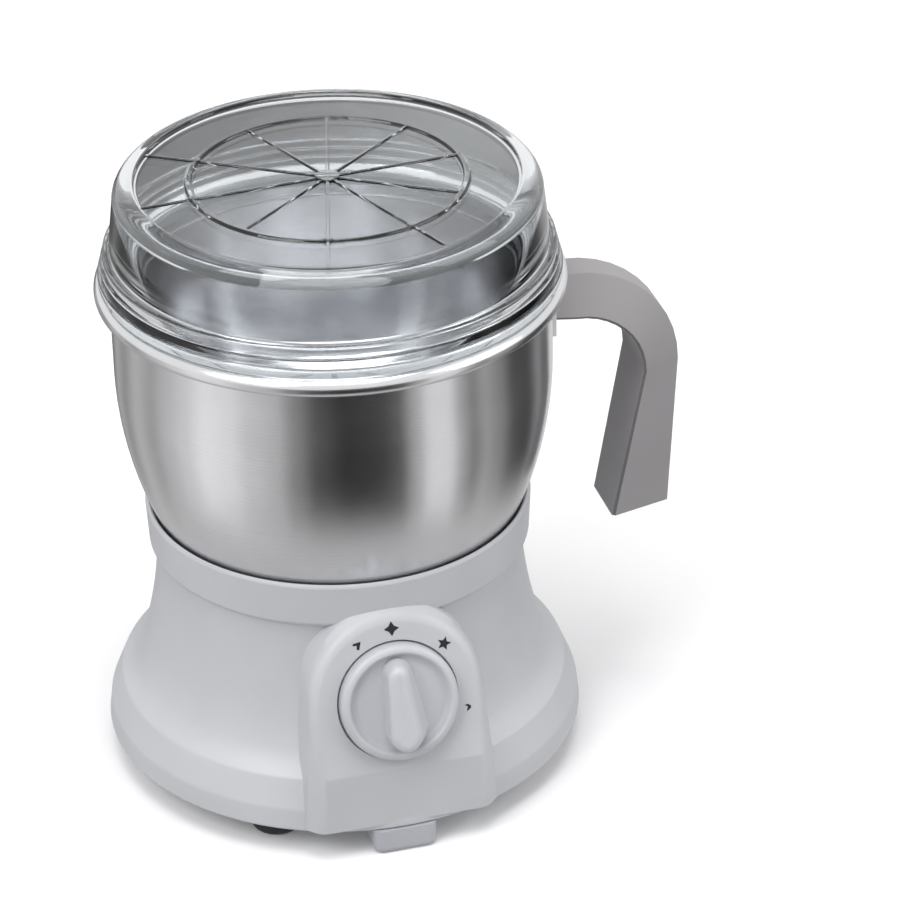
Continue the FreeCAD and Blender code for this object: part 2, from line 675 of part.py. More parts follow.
def bottom_cover():
    """Flat cover with air slots, holes for screws and feet, and the block foot under the panel."""
    plate = cylinder("cover_plate", "cover_radius", "cover_thickness", z="cover_bottom")
    middle = "-block_front + block_depth / 2"
    foot = padded(
        "block_foot",
        "XY_Plane",
        [
            ("-block_width / 2 + block_round", "-block_front", "-block_round"),
            ("block_width / 2 - block_round", "-block_front"),
            ("block_width / 2", "-block_front + block_round", "-block_round"),
            ("block_width / 2", "-block_front + block_depth"),
            ("-block_width / 2", "-block_front + block_depth"),
            ("-block_width / 2", "-block_front + block_round"),
        ],
        "edge_height - 0.05",
    )
    size = ("block_width", "block_depth - 4", "1")
    root = block("block_root", *size, y=f"{middle} + 2", z="edge_height - 0.5")
    removed = []
    for index, (side, front) in enumerate(SIGNS):
        x, y = f"{side} * post_x", f"{front} * post_y"
        screw = ("cover_screw_radius + 0.3", "cover_thickness + 2", x, y, "cover_bottom - 1")
        head = ("2 * cover_screw_radius + 0.3", "cover_thickness / 2", x, y, "cover_bottom - 0.01")
        removed.append(cylinder(f"cover_hole{index}", *screw))
        removed.append(cylinder(f"cover_counterbore{index}", *head))
    for index, (x, y) in enumerate(foot_places()):
        stem = ("rubber_stem + press_gap", "cover_thickness + 2", x, y, "cover_bottom - 1")
        removed.append(cylinder(f"stem_hole{index}", *stem))
    for count in range(10):
        slot = ("vent_inner", "vent_outer", "vent_width", "cover_thickness + 2", "cover_bottom - 1")
        removed.append(spoke(f"vent{count}", *slot, 36 * count + 18))
    doc.recompute()
    edges = [
        index
        for index, edge in enumerate(foot.Shape.Edges, start=1)
        if edge.BoundBox.ZMax < 0.01
    ]
    rounded = doc.addObject("Part::Fillet", "block_foot_rounded")
    rounded.Base = foot
    rounded.Edges = [(index, value("block_edge"), value("block_edge")) for index in edges]
    return cut("cover_cut", join("cover_whole", plate, rounded, root), *removed)


def cover_screws():
    screws = []
    for index, (side, front) in enumerate(SIGNS):
        x, y = f"{side} * post_x", f"{front} * post_y"
        seat = "cover_bottom + cover_thickness / 2 - 0.01"
        shank = cylinder(f"cover_shank{index}", "cover_screw_radius", "10", x, y, seat)
        bottom = f"{seat} - cover_thickness / 2 + 0.2"
        size = ("2 * cover_screw_radius", "cover_thickness / 2 - 0.2")
        head = cylinder(f"cover_head{index}", *size, x, y, bottom)
        screws.append(join(f"cover_screw{index}", shank, head))
    return group("cover_screw_set", *screws)


def rubber_feet():
    """Round rubber feet with a rounded lower edge and a stem pressed through the cover."""
    feet = []
    for index, (x, y) in enumerate(foot_places()):
        outline = [
            ("0", "0"),
            ("rubber_radius - 1.4", "0"),
            ("rubber_radius - 0.2", "1.4", "-1.6"),
            ("rubber_radius - 0.7", "cover_bottom"),
            ("rubber_stem", "cover_bottom"),
        ]
        if x == "0":
            outline += [("rubber_stem", "cover_top - 0.2"), ("0", "cover_top - 0.2")]
        else:
            outline += [
                ("rubber_stem", "cover_top + 0.2"),
                ("rubber_stem + 0.5", "cover_top + 0.2"),
                ("rubber_stem - 0.6", "cover_top + 1.8"),
                ("0", "cover_top + 1.8"),
            ]
        feet.append(place(turned(f"rubber_foot{index}", outline), x, y))
    return group("rubber_foot_set", *feet)


def rotary_switch():
    back = "-panel_back - switch_depth"
    body = block("switch_body", "switch_width", "switch_width", "switch_depth", z=back)
    neck = cylinder("switch_neck", "bushing_radius", "panel_back", z="-panel_back - 0.4")
    bore = cylinder("switch_bore", "spindle_radius + running_gap", "30", z=back + " + 2")
    return on_panel(cut("switch_cut", join("switch_whole", body, neck), bore))


def switch_terminals():
    """Four brass tabs on the back of the switch."""
    tabs = []
    for side in (-1, 1):
        for row in (-1, 1):
            name = f"switch_tab{side}{row}"
            bottom = "-panel_back - switch_depth - terminal_length"
            tab = block(name, "0.8", "4.8", "terminal_length", f"{side} * 6", f"{row} * 5", bottom)
            tabs.append(on_panel(group(name + "_tilted", tab)))
    return group("switch_tab_set", *tabs)


def switch_nut():
    nut = doc.addObject("Part::Prism", "switch_nut_blank")
    nut.Polygon = 6
    bind(nut, Circumradius="bushing_radius + 1.7", Height="1.6")
    place(nut, "0", "0", "-knob_recess")
    bore = cylinder("switch_nut_bore", "bushing_radius + press_gap", "6", z="-4")
    return on_panel(cut("switch_nut_cut", nut, bore))


def knob():
    """Round knob: a rounded ring, a dished face and a tapered finger ridge that points up."""
    floor = "-knob_recess + 0.3"
    body = turned("knob_body", [
        ("0", floor),
        ("knob_radius", floor),
        ("knob_radius", "knob_rise - 1.4"),
        ("knob_radius - 1.4", "knob_rise", "-1.4"),
        ("knob_dish_radius + 0.6", "knob_rise"),
        ("knob_dish_radius", "knob_rise - 0.6"),
        ("0", "knob_rise - knob_dish"),
    ])
    narrow, wide = "ridge_top_width / 2", "ridge_bottom_width / 2"
    reach = "knob_dish_radius - 0.8"
    ridge = padded(
        "knob_ridge",
        "XY_Plane",
        [
            (f"-({wide})", f"-({reach}) + {wide}"),
            ("0", f"-({reach})", f"-({wide}) * 1.02"),
            (wide, f"-({reach}) + {wide}", f"-({wide}) * 1.02"),
            (narrow, f"{reach} - ({narrow})"),
            ("0", reach, f"-({narrow}) * 1.02"),
            (f"-({narrow})", f"{reach} - ({narrow})", f"-({narrow}) * 1.02"),
        ],
        "ridge_rise",
        taper="-4",
    )
    whole = join("knob_whole", body, ridge)
    bore = cylinder("knob_bore", "spindle_radius + press_gap", "spindle_reach + 5", z="-5 + 0.2")
    room = cylinder("knob_underside", "bushing_radius + 2.6", "2.6", z=floor + " - 0.1")
    hollow = cut("knob_hollow", whole, bore, room)
    doc.recompute()
    top = value("ridge_rise")
    edges = [
        index
        for index, edge in enumerate(hollow.Shape.Edges, start=1)
        if edge.BoundBox.ZMin > top - 0.01
    ]
    rounded = doc.addObject("Part::Fillet", "knob_rounded")
    rounded.Base = hollow
    rounded.Edges = [(index, value("ridge_round"), value("ridge_round")) for index in edges]
    return on_panel(rounded)


def knob_spindle():
    start = "-panel_back - switch_depth + 2.2"
    spindle = cylinder("spindle_rod", "spindle_radius", f"spindle_reach - ({start})", z=start)
    return on_panel(group("spindle_tilted", spindle))


def cord_gland():
    """Rubber inlet in the rear wall with a bore for the cord."""
    body = turned("gland_body", [
        ("gland_bore", "-wall - 8.6"),
        ("gland_radius + 0.8", "-wall - 8.6"),
        ("gland_radius + 0.8", "-wall - 7.2"),
        ("gland_radius", "-wall - 7.2"),
        ("gland_radius", "0.4"),
        ("gland_flange_radius", "0.4"),
        ("gland_flange_radius - 1", "gland_reach"),
        ("gland_bore", "gland_reach"),
    ])
    turn_to(body, (1, 0, 0), -90)
    return place(body, "0", "skirt_radius", "gland_height")


def bearing(name, bottom):
    """Ball bearing drawn as one ring with a groove in each face."""
    middle, ball = "(shaft_radius + bearing_radius) / 2", "1.1"
    top = f"{bottom} + bearing_width"
    return turned(name, [
        ("shaft_radius + running_gap", bottom),
        (f"{middle} - {ball}", bottom),
        (f"{middle} - {ball}", f"{bottom} + 0.5"),
        (f"{middle} + {ball}", f"{bottom} + 0.5"),
        (f"{middle} + {ball}", bottom),
        ("bearing_radius", bottom),
        ("bearing_radius", top),
        (f"{middle} + {ball}", top),
        (f"{middle} + {ball}", f"{top} - 0.5"),
        (f"{middle} - {ball}", f"{top} - 0.5"),
        (f"{middle} - {ball}", top),
        ("shaft_radius + running_gap", top),
    ])


def motor_bracket(name, plate, cup_bottom, cup_height):
    """Pressed plate with a bearing cup, bolt holes and air windows."""
    cup_radius = "bearing_radius + cup_wall"
    flat = block(name + "_flat", "stator_length", "stator_width", "bracket_plate", z=plate)
    cup = cylinder(name + "_cup", cup_radius, cup_height, z=cup_bottom)
    bore = cylinder(name + "_bore", "bearing_radius + press_gap", "40", z=f"{cup_bottom} - 10")
    removed = [bore]
    for index, (side, front) in enumerate(SIGNS):
        hole = ("bolt_radius + 0.1", "bracket_plate + 2", f"{side} * bolt_x", f"{front} * bolt_y")
        removed.append(cylinder(f"{name}_hole{index}", *hole, f"{plate} - 1"))
    for front in (-1, 1):
        middle = f"{front} * (stator_width / 4 + bearing_radius / 2 + 1)"
        window = block(f"{name}_window{front}", "30", "8", "bracket_plate + 2", "0", middle, f"{plate} - 1")
        removed.append(window)
    return cut(name + "_part", join(name + "_whole", flat, cup), *removed)


def bolt_set(name, radius, inner, height, bottom):
    """Four rings round the motor bolts, such as spacers or rubber mounts."""
    rings = []
    for index, (side, front) in enumerate(SIGNS):
        at = (f"{side} * bolt_x", f"{front} * bolt_y", bottom)
        rings.append(tube(f"{name}{index}", radius, inner, height, *at))
    return rings


def motor_bolts():
    bolts = []
    for index, (side, front) in enumerate(SIGNS):
        x, y = f"{side} * bolt_x", f"{front} * bolt_y"
        length = "well_under - lower_plate"
        shank = cylinder(f"bolt_shank{index}", "bolt_radius", length, x, y, "lower_plate")
        head = cylinder(f"bolt_head{index}", "bolt_radius + 1.6", "1.8", x, y, "lower_plate - 1.8")
        bolts.append(join(f"motor_bolt{index}", shank, head))
    return group("motor_bolt_set", *bolts)


def motor_stator():
    """Lamination stack with the armature bore and four windows for the field coils."""
    stack = block("stator_block", "stator_length", "stator_width", "stack", z="stack_bottom")
    bore = cylinder("stator_bore", "core_radius + air_gap", "stack + 2", z="stack_bottom - 1")
    removed = [bore]
    for index, (side, front) in enumerate(SIGNS):
        x = f"{side} * (coil_inner + coil_depth / 2)"
        y = f"{front} * (coil_reach - coil_leg / 2)"
        window = ("coil_depth + 0.4", "coil_leg + 0.4", "stack + 2", x, y, "stack_bottom - 1")
        removed.append(block(f"coil_window{index}", *window))
        hole = ("bolt_radius + 0.1", "stack + 2", f"{side} * bolt_x", f"{front} * bolt_y", "stack_bottom - 1")
        removed.append(cylinder(f"stator_hole{index}", *hole))
    return cut("stator_cut", stack, *removed)


def field_coils():
    """One flat coil round each pole."""
    coils = []
    height = "stack + 2 * coil_overhang"
    for side in (-1, 1):
        x = f"{side} * (coil_inner + coil_depth / 2)"
        outer = ("coil_depth", "2 * coil_reach", height, x, "0", "stack_bottom - coil_overhang")
        inner = ("coil_depth + 2", "2 * (coil_reach - coil_leg)", "stack + 0.4", x, "0", "stack_bottom - 0.2")
        frame = (block(f"coil_outer{side}", *outer), block(f"coil_inner_cut{side}", *inner))
        coils.append(cut(f"field_coil{side}", *frame))
    return group("field_coil_pair", *coils)


def armature_core():
    """Laminated armature with twelve winding slots."""
    core = tube("core_blank", "core_radius", "shaft_radius", "stack", z="stack_bottom")
    slot = ("core_radius - 3.5", "core_radius + 1", "1.6", "stack + 2", "stack_bottom - 1")
    slots = [spoke(f"core_slot{count}", *slot, 30 * count) for count in range(12)]
    return cut("core_cut", core, *slots)


def armature_winding():
    """Winding heads at both ends of the armature."""
    ring = ("winding_radius", "shaft_radius + 1", "winding_head")
    lower = tube("head_low", *ring, z="stack_bottom - winding_head")
    upper = tube("head_high", *ring, z="stack_top")
    return group("winding_pair", lower, upper)


def commutator():
    size = ("commutator_radius", "shaft_radius", "commutator_height")
    ring = tube("commutator_blank", *size, z="commutator_bottom")
    slot = ("commutator_radius - 0.8", "commutator_radius + 1", "0.5", "commutator_height + 2")
    slots = [
        spoke(f"bar_gap{count}", *slot, "commutator_bottom - 1", 30 * count) for count in range(12)
    ]
    return cut("commutator_cut", ring, *slots)


def brush_parts():
    """Brush holders with their carbon brushes and springs, one each side of the commutator."""
    holders, brushes, springs = [], [], []
    start = "commutator_radius + 0.3"
    end = f"{start} + brush_length + 4"
    for side in (-1, 1):
        bottom = "lower_plate_top"
        height = "brush_bottom - lower_plate_top + brush_height + holder_wall"
        length = f"{end} - (commutator_radius + 1.5)"
        middle = f"{side} * (({end}) + commutator_radius + 1.5) / 2"
        size = (length, "brush_width + 2 * holder_wall", height)
        case = block(f"holder_case{side}", *size, middle, "0", bottom)
        room = block(
            f"holder_room{side}",
            "brush_length + 4 + 2",
            "brush_width + 0.1",
            "brush_height + 0.1",
            f"{side} * (({end}) - holder_wall - (brush_length + 6) / 2)",
            "0",
            "brush_bottom - 0.05",
        )
        holders.append(cut(f"brush_holder{side}", case, room))
        x = f"{side} * ({start} + brush_length / 2)"
        size = ("brush_length", "brush_width", "brush_height")
        brushes.append(block(f"brush{side}", *size, x, "0", "brush_bottom"))
        spring = turn_to(doc.addObject("Part::Cylinder", f"spring{side}"), (0, 1, 0), 90 * side)
        bind(spring, Radius="brush_height / 2 - 0.4", Height="4 - holder_wall - 0.1")
        place(spring, f"{side} * ({start} + brush_length + 0.05)", "0", "brush_bottom + brush_height / 2")
        springs.append(spring)
    return group("holder_pair", *holders), group("brush_pair", *brushes), group("spring_pair", *springs)


def cooling_fan():
    """Fan on the lower end of the shaft: a disc with blades under it."""
    disc = cylinder("fan_disc", "fan_radius", "0.8", z="fan_top - 0.8")
    hub = cylinder("fan_hub", "shaft_radius + 2", "fan_height", z="fan_bottom")
    blade = ("shaft_radius + 3.5", "fan_radius", "fan_blade", "fan_height", "fan_bottom")
    blades = [spoke(f"fan_blade_{count}", *blade, 40 * count) for count in range(9)]
    bore = cylinder("fan_bore", "shaft_radius", "20", z="fan_bottom - 5")
    return cut("fan_cut", join("fan_whole", disc, hub, *blades), bore)


def drive_coupling():
    """Lower half of the dog coupling: a hub with four wings on the motor shaft."""
    height = "drive_top - drive_bottom"
    hub = cylinder("drive_hub", "drive_hub_radius", height, z="drive_bottom")
    wing = ("shaft_radius + 1", "drive_reach", "dog_width", "dog_height", "drive_top - dog_height")
    wings = [spoke(f"drive_wing{angle}", *wing, angle) for angle in (0, 90, 180, 270)]
    bore = cylinder("drive_bore", "shaft_radius", "20", z="drive_bottom - 5")
    return cut("drive_cut", join("drive_whole", hub, *wings), bore)


def driven_coupling():
    """Upper half: a cup with four dogs that stand between the wings."""
    height = "driven_top - driven_bottom"
    outside = cylinder("driven_outside", "driven_radius", height, z="driven_bottom")
    room = cylinder("driven_room", "driven_bore", "20", z="driven_top - driven_web - 20")
    length = "dog_height - coupling_gap"
    dog = ("drive_hub_radius + 0.8", "driven_bore + 1", "dog_width", length)
    bottom = f"driven_top - driven_web - ({length})"
    dogs = [spoke(f"driven_dog{angle}", *dog, bottom, angle) for angle in (45, 135, 225, 315)]
    bore = cylinder("driven_shaft_hole", "blade_shaft_radius", "20", z="driven_top - 10")
    return cut("driven_cut", join("driven_whole", cut("driven_cup", outside, room), *dogs), bore)


def steel_bowl():
    """Deep-drawn bowl: flat floor, rounded corner, curved lower wall, straight wall and curled rim."""
    coil = "bead_radius - sheet"

    def curl(radius, angle, bend=None):
        corner = (f"bead_middle + ({radius}) * cos({angle})", f"bead_height + ({radius}) * sin({angle})")
        return corner if bend is None else (*corner, bend)

    outline = [
        ("hub_hole", "bowl_bottom"),
        ("bowl_floor_radius", "bowl_bottom"),
        ("seat_radius", "collar_top", "-bowl_corner_bend"),
        ("bowl_outer_radius", "taper_top", "-bowl_taper_bend"),
        ("bowl_outer_radius", "bead_height"),
        curl(coil, 80, coil),
        curl(coil, -20, coil),
        curl(coil, -120, coil),
        curl("bead_radius", -120),
        curl("bead_radius", -20, "-bead_radius"),
        curl("bead_radius", 80, "-bead_radius"),
        ("bowl_inner_radius", "bead_height", "-bead_radius"),
        ("bowl_inner_radius", "taper_top"),
        (
            "seat_radius - sheet * cos(bowl_lean)",
            "collar_top + sheet * sin(bowl_lean)",
            "bowl_taper_bend - sheet",
        ),
        ("bowl_floor_radius", "bowl_floor", "bowl_corner_bend - sheet"),
        ("hub_hole", "bowl_floor"),
    ]
    holes = []
    for angle in (30, 150, 270):
        x, y = polar("foot_screw_circle", angle)
        hole = ("foot_screw_radius + 0.2", "4", x, y, "bowl_bottom - 1")
        holes.append(cylinder(f"floor_hole{angle}", *hole))
    return cut("bowl_cut", turned("bowl_shell", outline), *holes)


def bowl_foot():
    """Plastic foot under the bowl: a ring with three notches for the keys of the well, and a web."""
    outline = [
        ("hub_hole + 0.2", "bowl_bottom - foot_web"),
        ("foot_inner", "bowl_bottom - foot_web"),
        ("foot_inner", "well_floor + seat_gap"),
        ("foot_outer", "well_floor + seat_gap"),
        ("foot_outer", "bowl_bottom"),
        ("hub_hole + 0.2", "bowl_bottom"),
    ]
    removed = []
    for angle in (90, 210, 330):
        notch = ("key_reach - 0.3", "foot_outer + 2", "key_width + 1", "foot_rise + 2")
        removed.append(spoke(f"foot_notch{angle}", *notch, "well_floor - 1", angle))
    for angle in (30, 150, 270):
        x, y = polar("foot_screw_circle", angle)
        hole = ("foot_screw_radius + 0.2", "6", x, y, "bowl_bottom - 3")
        removed.append(cylinder(f"web_hole{angle}", *hole))
    return cut("foot_cut", turned("foot_ring", outline), *removed)


def foot_screws():
    screws = []
    for angle in (30, 150, 270):
        x, y = polar("foot_screw_circle", angle)
        seat = "bowl_bottom - foot_web"
        length = "foot_web + sheet + hub_flange - 0.6"
        shank = cylinder(f"foot_shank{angle}", "foot_screw_radius", length, x, y, seat)
        head = cylinder(f"foot_head{angle}", "2 * foot_screw_radius", "1.2", x, y, f"{seat} - 1.2")
        screws.append(join(f"foot_screw{angle}", shank, head))
    return group("foot_screw_set", *screws)


def bearing_housing():
    """Turned hub in the bowl's floor that carries the blade's bush and seal."""
    outline = [
        ("bush_radius + press_gap", "hub_bottom"),
        ("hub_hole - 0.1", "hub_bottom"),
        ("hub_hole - 0.1", "bowl_floor"),
        ("hub_flange_radius", "bowl_floor"),
        ("hub_flange_radius - 0.6", "bowl_floor + hub_flange"),
        ("hub_base_radius", "bowl_floor + hub_flange"),
        ("hub_top_radius", "hub_top"),
        ("bush_radius + 0.6", "hub_top"),
        ("bush_radius + 0.6", "seal_bottom"),
        ("bush_radius + press_gap", "seal_bottom"),
    ]
    holes = []
    for angle in (30, 150, 270):
        x, y = polar("foot_screw_circle", angle)
        hole = ("foot_screw_radius + press_gap", "hub_flange + 0.6", x, y, "bowl_floor - 1")
        holes.append(cylinder(f"flange_hole{angle}", *hole))
    return cut("hub_cut", turned("hub_turned", outline), *holes)


def blade_bush():
    height = "seal_bottom - hub_bottom"
    return tube("bush_ring", "bush_radius", "blade_shaft_radius + running_gap", height, z="hub_bottom")


def blade_seal():
    return turned("seal_lip", [
        ("blade_shaft_radius + 0.3", "seal_bottom"),
        ("bush_radius + 0.55", "seal_bottom"),
        ("bush_radius + 0.55", "hub_top"),
        ("blade_shaft_radius + 1", "hub_top - 0.4"),
        ("blade_shaft_radius + 0.3", "hub_top - 0.4"),
    ])


def cutting_blade():
    """Two-armed blade: a flat middle and tips that turn up, tapered towards their ends."""
    half = "blade_width / 2"
    flat = "blade_length * 0.42"
    tip = "blade_length"
    plan = padded(
        "blade_plan",
        "XY_Plane",
        [
            (f"-({tip})", "-1.2"),
            (f"-({flat})", f"-({half})"),
            (flat, f"-({half}) * 0.8"),
            (tip, "-1.6"),
            (tip, "1.2"),
            (flat, half),
            (f"-({flat})", f"({half}) * 0.8"),
            (f"-({tip})", "1.6"),
        ],
        "60",
    )
    place(plan, "0", "0", "blade_bottom - 20")
    rise = "blade_bottom + blade_lift"
    side_view = padded(
        "blade_side_view",
        "XZ_Plane",
        [
            (f"-({tip}) - 1", rise),
            (f"-({flat})", "blade_bottom"),
            (flat, "blade_bottom"),
            (f"{tip} + 1", rise),
            (f"{tip} + 1", f"{rise} + blade_thickness"),
            (flat, "blade_bottom + blade_thickness"),
            (f"-({flat})", "blade_bottom + blade_thickness"),
            (f"-({tip}) - 1", f"{rise} + blade_thickness"),
        ],
        "3 * blade_width",
        middle=True,
    )
    hole = cylinder("blade_hole", "blade_shaft_radius - 0.5", "20", z="blade_bottom - 10")
    return cut("blade_cut", common("blade_bent", plan, side_view), hole)


def blade_shaft():
    """Shaft with a shoulder: thick through the bush, thin through blade and nut."""
    thin = "blade_shaft_radius - 0.5"
    return turned("blade_shaft_turned", [
        ("0", "driven_top - driven_web"),
        ("blade_shaft_radius", "driven_top - driven_web"),
        ("blade_shaft_radius", "blade_bottom"),
        (thin, "blade_bottom"),
        (thin, "blade_bottom + blade_thickness + 3"),
        ("0", "blade_bottom + blade_thickness + 3"),
    ])


def blade_collar():
    """Washer between the seal and the blade."""
    height = "blade_bottom - hub_top - 0.5"
    return tube("collar_ring", "blade_collar_radius", "blade_shaft_radius", height, z="hub_top + 0.5")


def blade_nut():
    """Dome nut on top of the blade."""
    base = "blade_bottom + blade_thickness"
    hexagon = doc.addObject("Part::Prism", "nut_blank")
    hexagon.Polygon = 6
    bind(hexagon, Circumradius="blade_nut_radius", Height="blade_nut_height * 0.5")
    place(hexagon, "0", "0", base)
    dome = turned("nut_dome", [
        ("0", base),
        ("blade_nut_radius * 0.82", base),
        ("blade_nut_radius * 0.82", f"{base} + blade_nut_height * 0.5"),
        ("0", f"{base} + blade_nut_height", "-blade_nut_radius"),
    ])
    bore = cylinder("nut_bore", "blade_shaft_radius - 0.5", "3", z=base)
    return cut("nut_cut", join("nut_whole", hexagon, dome), bore)


def clear_lid():
    """Clear lid: plug, three stacked ridges, drafted side wall, rounded edge and a sunk ribbed top."""
    outside = [("lid_skirt_radius", "lid_skirt_bottom"), ("lid_skirt_radius", "lid_bottom")]
    for count in range(3):
        radius = f"lid_flange_radius - {count} * lid_ridge_step"
        base = f"lid_bottom + {count} * lid_ridge_pitch"
        outside += [
            (radius, base),
            (radius, f"{base} + lid_ridge_rise"),
            (f"{radius} - lid_groove", f"{base} + lid_ridge_rise"),
            (f"{radius} - lid_groove", f"{base} + lid_ridge_pitch"),
        ]
    del outside[-1]
    inner_side = "lid_side_radius - lid_wall"
    outside += [
        ("lid_side_radius", "lid_side_base"),
        ("lid_top_radius", "lid_side_top"),
        ("lid_top_radius - lid_edge_bend", "lid_top", "-lid_edge_bend"),
        ("lid_dish_radius + 1", "lid_top"),
        ("lid_dish_radius", "lid_top - lid_dish"),
        ("0", "lid_top - lid_dish"),
        ("0", "lid_top - lid_dish - lid_wall"),
        ("lid_dish_radius", "lid_top - lid_dish - lid_wall"),
        ("lid_top_radius - lid_wall", "lid_side_top - 0.6", "2 * lid_edge_bend"),
        (inner_side, "lid_side_base"),
        ("lid_skirt_radius - lid_wall", "lid_bottom"),
        ("lid_skirt_radius - lid_wall", "lid_skirt_bottom"),
    ]
    shell = turned("lid_shell", outside)
    top = "lid_top - lid_dish - 0.2"
    rise = "lid_rib_rise + 0.2"
    rib = ("lid_boss_radius - 1", "lid_rib_reach", "lid_rib_width", rise, top)
    ribs = [spoke(f"lid_rib{count}", *rib, 36 * count) for count in range(10)]
    size = ("lid_rib_reach + lid_rib_width / 2", "lid_rib_reach - lid_rib_width / 2", rise)
    ring = tube("lid_rib_ring", *size, z=top)
    boss = cylinder("lid_boss", "lid_boss_radius", "lid_rib_rise + 0.5", z=top)
    return join("lid_whole", shell, ring, boss, *ribs)


def lid_seal():
    """Silicone ring round the plug."""
    inner = "lid_skirt_radius + press_gap"
    bottom = "lid_bottom - 1 - seal_height"
    return turned("seal_ring", [
        (inner, bottom),
        ("seal_outer - 0.6", bottom),
        ("seal_outer", f"{bottom} + seal_height / 2"),
        ("seal_outer - 0.6", f"{bottom} + seal_height"),
        (inner, f"{bottom} + seal_height"),
    ])


def rounded_section(inner, outer, wide, narrow, height, lean):
    """Trapezoid with rounded corners, the wide side towards the bowl, in a plane that leans."""
    corner = value("grip_corner")
    points = [VECTOR(inner, -wide / 2, 0), VECTOR(outer, -narrow / 2, 0)]
    points += [VECTOR(outer, narrow / 2, 0), VECTOR(inner, wide / 2, 0)]
    edges = []
    touch = []
    for index in range(4):
        before = (points[index - 1] - points[index]).normalize()
        after = (points[(index + 1) % 4] - points[index]).normalize()
        first = points[index] + before * corner
        last = points[index] + after * corner
        middle = points[index] + (before + after) * corner * 0.3
        touch.append((first, middle, last))
    for index in range(4):
        edges.append(Part.Arc(*touch[index]).toShape())
        edges.append(Part.LineSegment(touch[index][2], touch[(index + 1) % 4][0]).toShape())
    wire = Part.Wire(edges)
    centre = VECTOR((inner + outer) / 2, 0, 0)
    wire.rotate(centre, VECTOR(0, 1, 0), -lean)
    wire.translate(VECTOR(0, 0, height))
    return wire


def handle_grip():
    """Side handle: a straight leaning grip, free at its lower end, with an arm that bends to the bowl."""
    bottom, length = value("grip_bottom"), value("grip_length")
    lean = value("grip_lean")
    inner, depth = value("grip_inner"), value("grip_depth")
    top_depth = value("grip_top_depth")
    wide, narrow = value("grip_wide"), value("grip_narrow")
    top_wide, top_narrow = value("grip_top_wide"), value("grip_top_narrow")
    arm, arm_depth = value("arm_height"), value("arm_depth")
    top_inner = inner + lean
    middle = top_inner + top_depth / 2
    straight = [
        rounded_section(inner, inner + depth, wide, narrow, bottom, 0),
        rounded_section(top_inner, top_inner + top_depth, top_wide, top_narrow, bottom + length, 0),
    ]
    elbow = []
    bend = arm - bottom - length
    for share in (0, 1, 2, 3):
        angle = 30 * share
        size = top_depth + (arm_depth - top_depth) * share / 3
        narrow_here = top_narrow + (top_wide - top_narrow) * share / 6
        section = rounded_section(-size / 2, size / 2, top_wide, narrow_here, 0, 0)
        section.translate(VECTOR(bend, 0, 0))
        section.rotate(VECTOR(0, 0, 0), VECTOR(0, 1, 0), -angle)
        section.translate(VECTOR(middle - bend, 0, bottom + length))
        elbow.append(section)
    arm_end = elbow[-1].copy()
    arm_end.translate(VECTOR(value("arm_start") - (middle - bend), 0, 0))
    pieces = [Part.makeLoft(straight, True, True), Part.makeLoft(elbow, True, False)]
    pieces.append(Part.makeLoft([elbow[-1], arm_end], True, True))
    feature = doc.addObject("Part::Feature", "grip_solid")
    feature.Shape = pieces[0].fuse(pieces[1:]).removeSplitter()
    slot_width = "tongue_width + 0.2"
    slot_height = "tongue_thickness + 0.2"
    slot_length = "tongue_reach - bowl_outer_radius + 0.3"
    at = ("(tongue_reach + bowl_outer_radius + 0.3) / 2", "0", "arm_height - tongue_thickness / 2 - 0.1")
    slot = block("tongue_slot", slot_length, slot_width, slot_height, *at)
    at = ("tongue_reach - 5", "0", "arm_height - arm_depth / 2 - 1")
    hole = cylinder("arm_hole", "handle_screw_radius + 0.1", "arm_depth * 0.8", *at)
    head = cylinder("arm_head_room", "2 * handle_screw_radius + 0.2", "2.5", *at)
    return cut("grip_cut", feature, slot, hole, head)


def handle_bracket():
    """Steel plate spot-welded to the bowl with a tongue that goes into the arm."""
    low = "arm_height - bracket_height / 2"
    ring = ("bowl_outer_radius + bracket_thickness", "bowl_outer_radius", "bracket_height")
    plate = tube("bracket_ring", *ring, z=low)
    sides = ("12", "bracket_width", "bracket_height + 2")
    sector = block("bracket_sector", *sides, "bowl_outer_radius", "0", f"{low} - 1")
    tongue = block(
        "bracket_tongue",
        "tongue_reach - bowl_outer_radius - 0.6",
        "tongue_width",
        "tongue_thickness",
        "(tongue_reach + bowl_outer_radius + 0.6) / 2",
        "0",
        "arm_height - tongue_thickness / 2",
    )
    at = ("tongue_reach - 5", "0", "arm_height - 5")
    hole = cylinder("tongue_hole", "handle_screw_radius + 0.1", "10", *at)
    bent = common("bracket_plate_bent", plate, sector)
    return cut("bracket_cut", join("bracket_whole", bent, tongue), hole)


def handle_screw():
    base = "arm_height - arm_depth / 2 + 1.5"
    length, place_x = "arm_depth * 0.8 - 2.6", "tongue_reach - 5"
    shank = cylinder("handle_shank", "handle_screw_radius", length, place_x, "0", base)
    head = cylinder("handle_head", "2 * handle_screw_radius", "1.6", place_x, "0", f"{base} - 1.6")
    return join("handle_screw_whole", shank, head)


